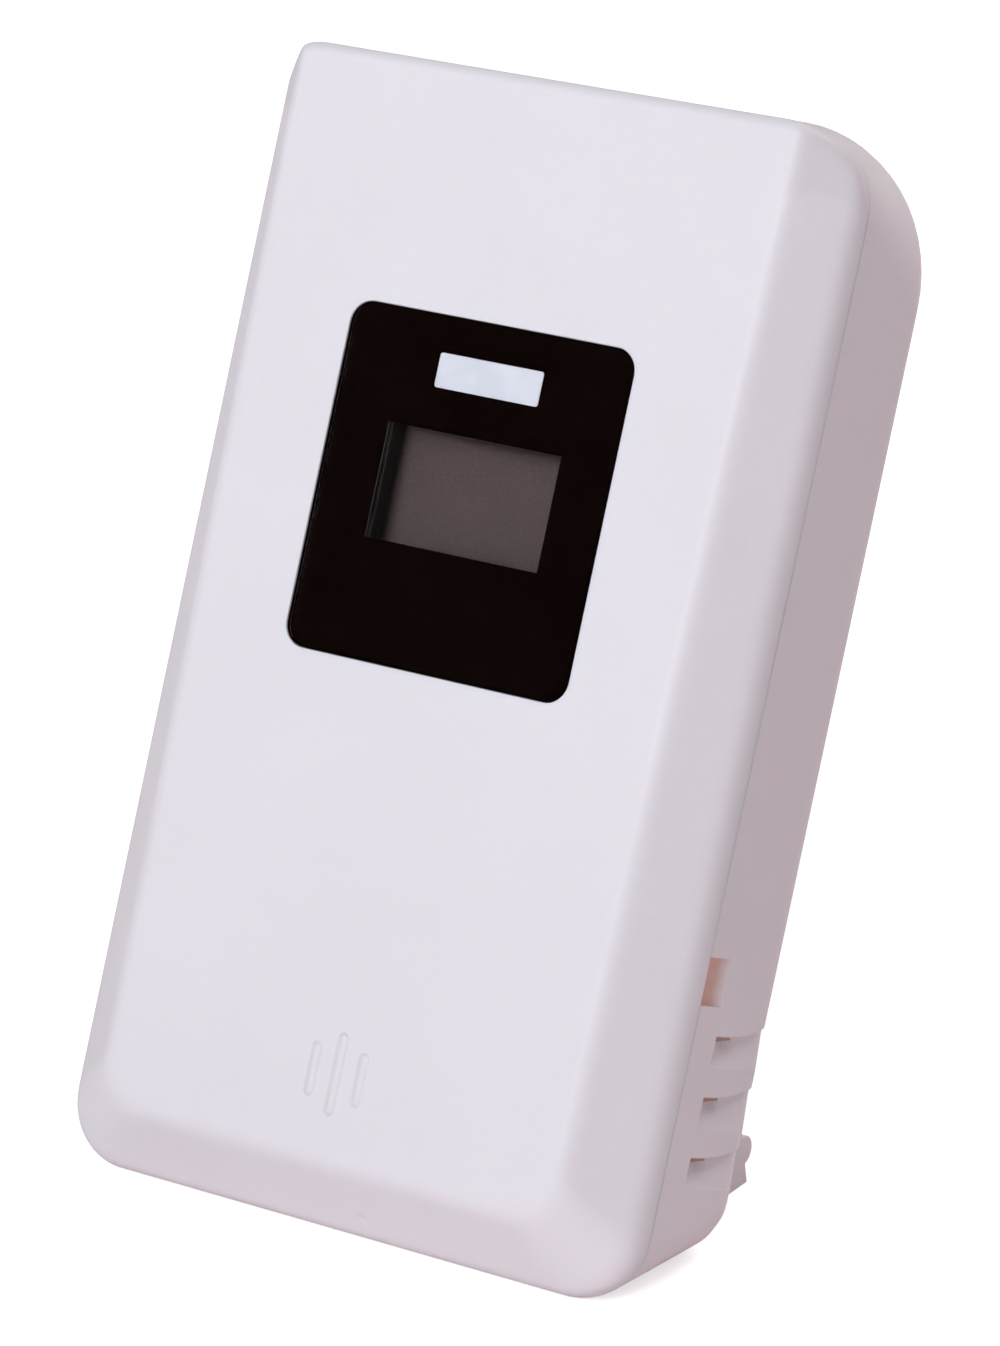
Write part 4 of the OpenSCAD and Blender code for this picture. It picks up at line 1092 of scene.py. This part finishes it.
class BuildDoor(bpy.types.Operator):
    """Battery door with rounded edges, and its cross-head screw"""

    bl_idname = "sensor.door"
    bl_label = "Battery door"

    def execute(self, context):
        c, w = context.scene.sensor_case, context.scene.sensor_hardware
        rounded_copy("door_plate", "battery_door", "door", "white_plastic", c.door_edge)
        screw = cross_screws([(0, c.door_screw_z)], c.depth - w.head_h, w.door_screw_l)
        piece_of("door_screw_cross", screw, "door", "steel", "door_screw")
        return {"FINISHED"}


class BuildScrews(bpy.types.Operator):
    """Case screws and board screws"""

    bl_idname = "sensor.screws"
    bl_label = "Screws"

    def execute(self, context):
        c, w = context.scene.sensor_case, context.scene.sensor_hardware
        case_places = [(x * side, z) for side in (-1, 1) for x, z in (
            (c.upper_screw_x, c.upper_screw_z), (c.lower_screw_x, c.lower_screw_z))]
        board_places = [(c.board_screw_x * side, z) for side in (-1, 1)
                        for z in (c.board_screw_low, c.board_screw_high)]
        piece_of("case_screws_cross", cross_screws(case_places, c.screw_seat, w.case_screw_l),
                 "case", "steel", "case_screws")
        piece_of("board_screws_cross", cross_screws(board_places, c.board_back, w.board_screw_l),
                 "case", "steel", "board_screws")
        return {"FINISHED"}


BAND_START = 0.66  # share of a cell's jacket below its band

# Rolled end of the jacket: distances from the end and in from the radius, in millimetres
JACKET_ROLL = ((0.1, 0.62), (0.0, 0.45), (0.12, 0.12), (0.45, 0.0))


class BuildCells(bpy.types.Operator):
    """Two cells with rolled jacket ends, their coil contacts and flat contacts"""

    bl_idname = "sensor.cells"
    bl_label = "Cells and contacts"

    def execute(self, context):
        w = context.scene.sensor_hardware
        rows = ((1, w.cell_low), (-1, w.cell_high))
        cells = joined([self.cell(w, side, z) for side, z in rows])
        band, bare = BAND_START * (w.cell_l - w.tip_l), w.cell_r - 0.6 * MM
        for face in cells.faces:
            spot = face.calc_center_median()
            reach = math.hypot(spot.y - w.cell_y, min((spot.z - z for _, z in rows), key=abs))
            side = next(side for side, z in rows if abs(spot.z - z) <= w.cell_r)
            along = side * spot.x - (w.cell_tip - w.cell_l)
            steel = reach < bare or along > w.cell_l - w.tip_l
            face.material_index = 1 if steel else 2 if along > band else 0
        bands = plain_finish("jacket_band", (0.42, 0.30, 0.16), 0.28, 2200.0, 0.6)
        piece_of("cells_wrapped", cells, "case", "cell_jacket", "battery_cells",
                 materials=[finish_of("cell_jacket"), finish_of("steel"), bands])
        springs = []
        for side, z in rows:
            springs.append(self.contact(w, -side, z))
            springs.append(coil(w.spring_r0, w.spring_r1, w.spring_run - w.wire_r, 3, w.wire_r,
                                (-side * (w.plate_x - w.wire_r), w.cell_y, z), (side, 0, 0)))
        piece_of("coil_contacts", joined(springs), "case", "steel", "battery_springs")
        flats = joined([self.contact(w, side, z) for side, z in rows])
        piece_of("flat_contacts", flats, "case", "steel", "battery_plates")
        return {"FINISHED"}

    def cell(self, w, side, z):
        """One cell: flat end, rolled jacket, shoulder and tip."""
        r, tip, end = w.cell_r, w.tip_r, w.cell_l - w.tip_l
        roll = [(along * MM, r - sunk * MM) for along, sunk in JACKET_ROLL]
        profile = [(0.15 * MM, 0.0), (0.15 * MM, 0.62 * r), (0.3 * MM, 0.66 * r),
                   (0.3 * MM, r - 0.7 * MM), *roll, (BAND_START * end, r)]
        profile += [(end - along, radius) for along, radius in reversed(roll)]
        profile += [(end - 0.35 * MM, r - 0.7 * MM), (end - 0.35 * MM, 1.35 * tip),
                    (end - 0.1 * MM, 1.12 * tip), (end, tip), (w.cell_l - 0.15 * MM, tip),
                    (w.cell_l, 0.9 * tip), (w.cell_l, 0.0)]
        return turned(profile, (side * (w.cell_tip - w.cell_l), w.cell_y, z), (side, 0, 0), 56)

    def contact(self, w, side, z):
        """One contact plate with its solder tab."""
        x = sorted((side * w.plate_x, side * (w.plate_x + w.plate_t)))
        flat = worked(slab(x, (w.plate_y0, w.plate_y1), (z - w.plate_w / 2, z + w.plate_w / 2)))
        lap = w.plate_y0 + 0.5 * MM
        carve(flat, slab(x, (w.tab_y, lap), (z - w.tab_w / 2, z + w.tab_w / 2)), operation="UNION")
        return soften(reopened(flat, math.radians(1)), w.plate_edge)


# Piece, node, body, slot, rounding in millimetres and its segments
CONTROLS = (
    ("switch_body", "channel_switch", "case", "steel", 0.12, 2),
    ("switch_slider", "channel_knob", "channel_knob", "black_plastic", 0.2, 3),
    ("push_switches", "button_switches", "case", "black_plastic", 0.15, 2),
    ("reset_plunger", "reset_button", "reset_button", "black_plastic", 0.25, 3),
    ("unit_plunger", "unit_button", "unit_button", "button_red", 0.25, 3),
)


class BuildControls(bpy.types.Operator):
    """Channel switch, its slider, push buttons and their switches"""

    bl_idname = "sensor.controls"
    bl_label = "Controls"

    def execute(self, context):
        for *names, radius, segments in CONTROLS:
            rounded_copy(*names, radius * MM, segments)
        return {"FINISHED"}


class DressInside(bpy.types.Operator):
    """Finishes on the CAD pieces inside the case"""

    bl_idname = "sensor.inside"
    bl_label = "Inside parts"

    def execute(self, context):
        for row in frame["record"]["subparts"]:
            node = frame["nodes"][row["node"]]
            node.data.materials.clear()
            node.data.materials.append(finish_of(row["material_slot"]))
        return {"FINISHED"}


FLOOR_REACH = 4.0  # metres from the middle to the floor's sides
FRAME_WIDTH = 36.0  # millimetres, the camera's sensor
LIT_POINT = Vector((0.0, 0.01, 0.045))  # where the softboxes face

# Name, place and size in metres, tint, and whether reflections show it
SOFTBOXES = (
    ("key", (-0.1, -1.25, 0.85), 0.8, (0.895, 0.955, 1.0), True),
    ("right", (1.3, -0.4, 0.35), 0.8, (0.87, 0.86, 0.95), True),
    ("left", (-1.2, -0.45, 0.9), 0.9, (0.95, 0.98, 1.0), True),
    ("rear", (0.3, 1.1, 1.0), 1.0, (1.0, 0.95, 0.95), True),
    ("back", (-0.2, 1.3, 0.25), 0.6, (0.93, 0.97, 1.0), False),
)


class BuildStudio(bpy.types.Operator):
    """Pale floor, soft lights, room and the photograph's camera"""

    bl_idname = "sensor.studio"
    bl_label = "Studio"

    def execute(self, context):
        s = context.scene.sensor_studio
        bm = bmesh.new()
        bmesh.ops.create_grid(bm, x_segments=8, y_segments=8, size=FLOOR_REACH)
        floor = worked(bm, "studio_floor")
        floor.data.materials.append(self.pale_floor())
        for name, *settings in SOFTBOXES:
            self.softbox(context, name, getattr(s, f"{name}_power"), *settings)
        self.room(context, s)
        self.camera(context, s)
        context.scene.view_settings.view_transform = "Standard"
        return {"FINISHED"}

    def room(self, context, s):
        """Faint room light, with a plain backdrop for the camera."""
        world = bpy.data.worlds.new("studio_room")
        context.scene.world = world
        world.use_nodes = True
        nodes, links = world.node_tree.nodes, world.node_tree.links
        room, backdrop = nodes["Background"], nodes.new("ShaderNodeBackground")
        room.inputs["Color"].default_value = (*colours().room, 1.0)
        room.inputs["Strength"].default_value = s.world
        seen, either = nodes.new("ShaderNodeLightPath"), nodes.new("ShaderNodeMixShader")
        links.new(seen.outputs["Is Camera Ray"], either.inputs["Fac"])
        links.new(room.outputs["Background"], either.inputs[1])
        links.new(backdrop.outputs["Background"], either.inputs[2])
        links.new(either.outputs["Shader"], nodes["World Output"].inputs["Surface"])

    def pale_floor(self):
        """Matt pale floor with faint cloudiness."""
        f = Finish("pale_floor", Emission_Strength=bpy.context.scene.sensor_studio.floor_glow)
        cloud = f.noise(3.0, 3.0)
        tone = colours().floor
        f.set("Emission Color", tone)
        f.unseen(f.node("ShaderNodeBsdfDiffuse", None, {"Color": colours().bounce}))
        return f.surface(f.mix(cloud, tinted(tone, 0.99), tinted(tone, 1.01)),
                         0.6 + 0.1 * cloud).material

    def softbox(self, context, name, power, place, size, tint, reflected):
        """A square area light that faces the sensor."""
        light = bpy.data.lights.new(f"{name}_softbox", "AREA")
        light.size = size
        light.energy = power
        light.color = tint
        lamp = bpy.data.objects.new(light.name, light)
        lamp.location = place
        lamp.visible_glossy = reflected
        lamp.rotation_euler = (LIT_POINT - Vector(place)).to_track_quat("-Z", "Y").to_euler()
        context.scene.collection.objects.link(lamp)

    def camera(self, context, s):
        """The photograph's camera."""
        view = bpy.data.cameras.new("camera")
        view.lens = s.focal
        view.sensor_width = FRAME_WIDTH
        view.clip_start, view.clip_end = 0.01, 20.0
        back = Vector((math.sin(s.azimuth) * math.cos(s.elevation),
                       -math.cos(s.azimuth) * math.cos(s.elevation), math.sin(s.elevation)))
        camera = bpy.data.objects.new("camera", view)
        camera.location = Vector(s.aim) + back * s.distance
        camera.rotation_euler = (-back).to_track_quat("-Z", "Y").to_euler()
        context.scene.collection.objects.link(camera)
        context.scene.camera = camera


class SensorPanel(bpy.types.Panel):
    """Lists the operators and sizes"""

    bl_idname = "VIEW3D_PT_sensor"
    bl_label = "Remote sensor"
    bl_space_type = "VIEW_3D"
    bl_region_type = "UI"
    bl_category = "Sensor"

    def draw(self, context):
        for operator in OPERATORS:
            self.layout.operator(operator.bl_idname)
        for group in GROUPS:
            box = self.layout.box()
            for name in GROUPS[group].__annotations__:
                box.prop(getattr(context.scene, group), name)


OPERATORS = (BuildFrontCover, BuildRearCover, BuildDisplay, BuildStand, BuildDoor, BuildScrews,
             BuildCells, BuildControls, DressInside, BuildStudio)
GROUPS = {"sensor_case": CaseSizes, "sensor_display": DisplaySizes,
          "sensor_hardware": HardwareSizes, "sensor_colours": FinishColours,
          "sensor_studio": StudioSettings}


def register():
    """Registers the classes and the scene's settings."""
    for group in GROUPS.values():
        bpy.utils.register_class(group)
    for name, group in GROUPS.items():
        setattr(bpy.types.Scene, name, PointerProperty(type=group))
    for operator in (*OPERATORS, SensorPanel):
        bpy.utils.register_class(operator)


def unregister():
    """Takes the classes and the scene's settings away."""
    for operator in (SensorPanel, *reversed(OPERATORS)):
        bpy.utils.unregister_class(operator)
    for name, group in GROUPS.items():
        delattr(bpy.types.Scene, name)
        bpy.utils.unregister_class(group)


def main():
    """Builds every piece in order."""
    register()
    for operator in OPERATORS:
        module, name = operator.bl_idname.split(".")
        getattr(getattr(bpy.ops, module), name)()
    bpy.context.view_layer.update()


if __name__ == "__main__":
    main()
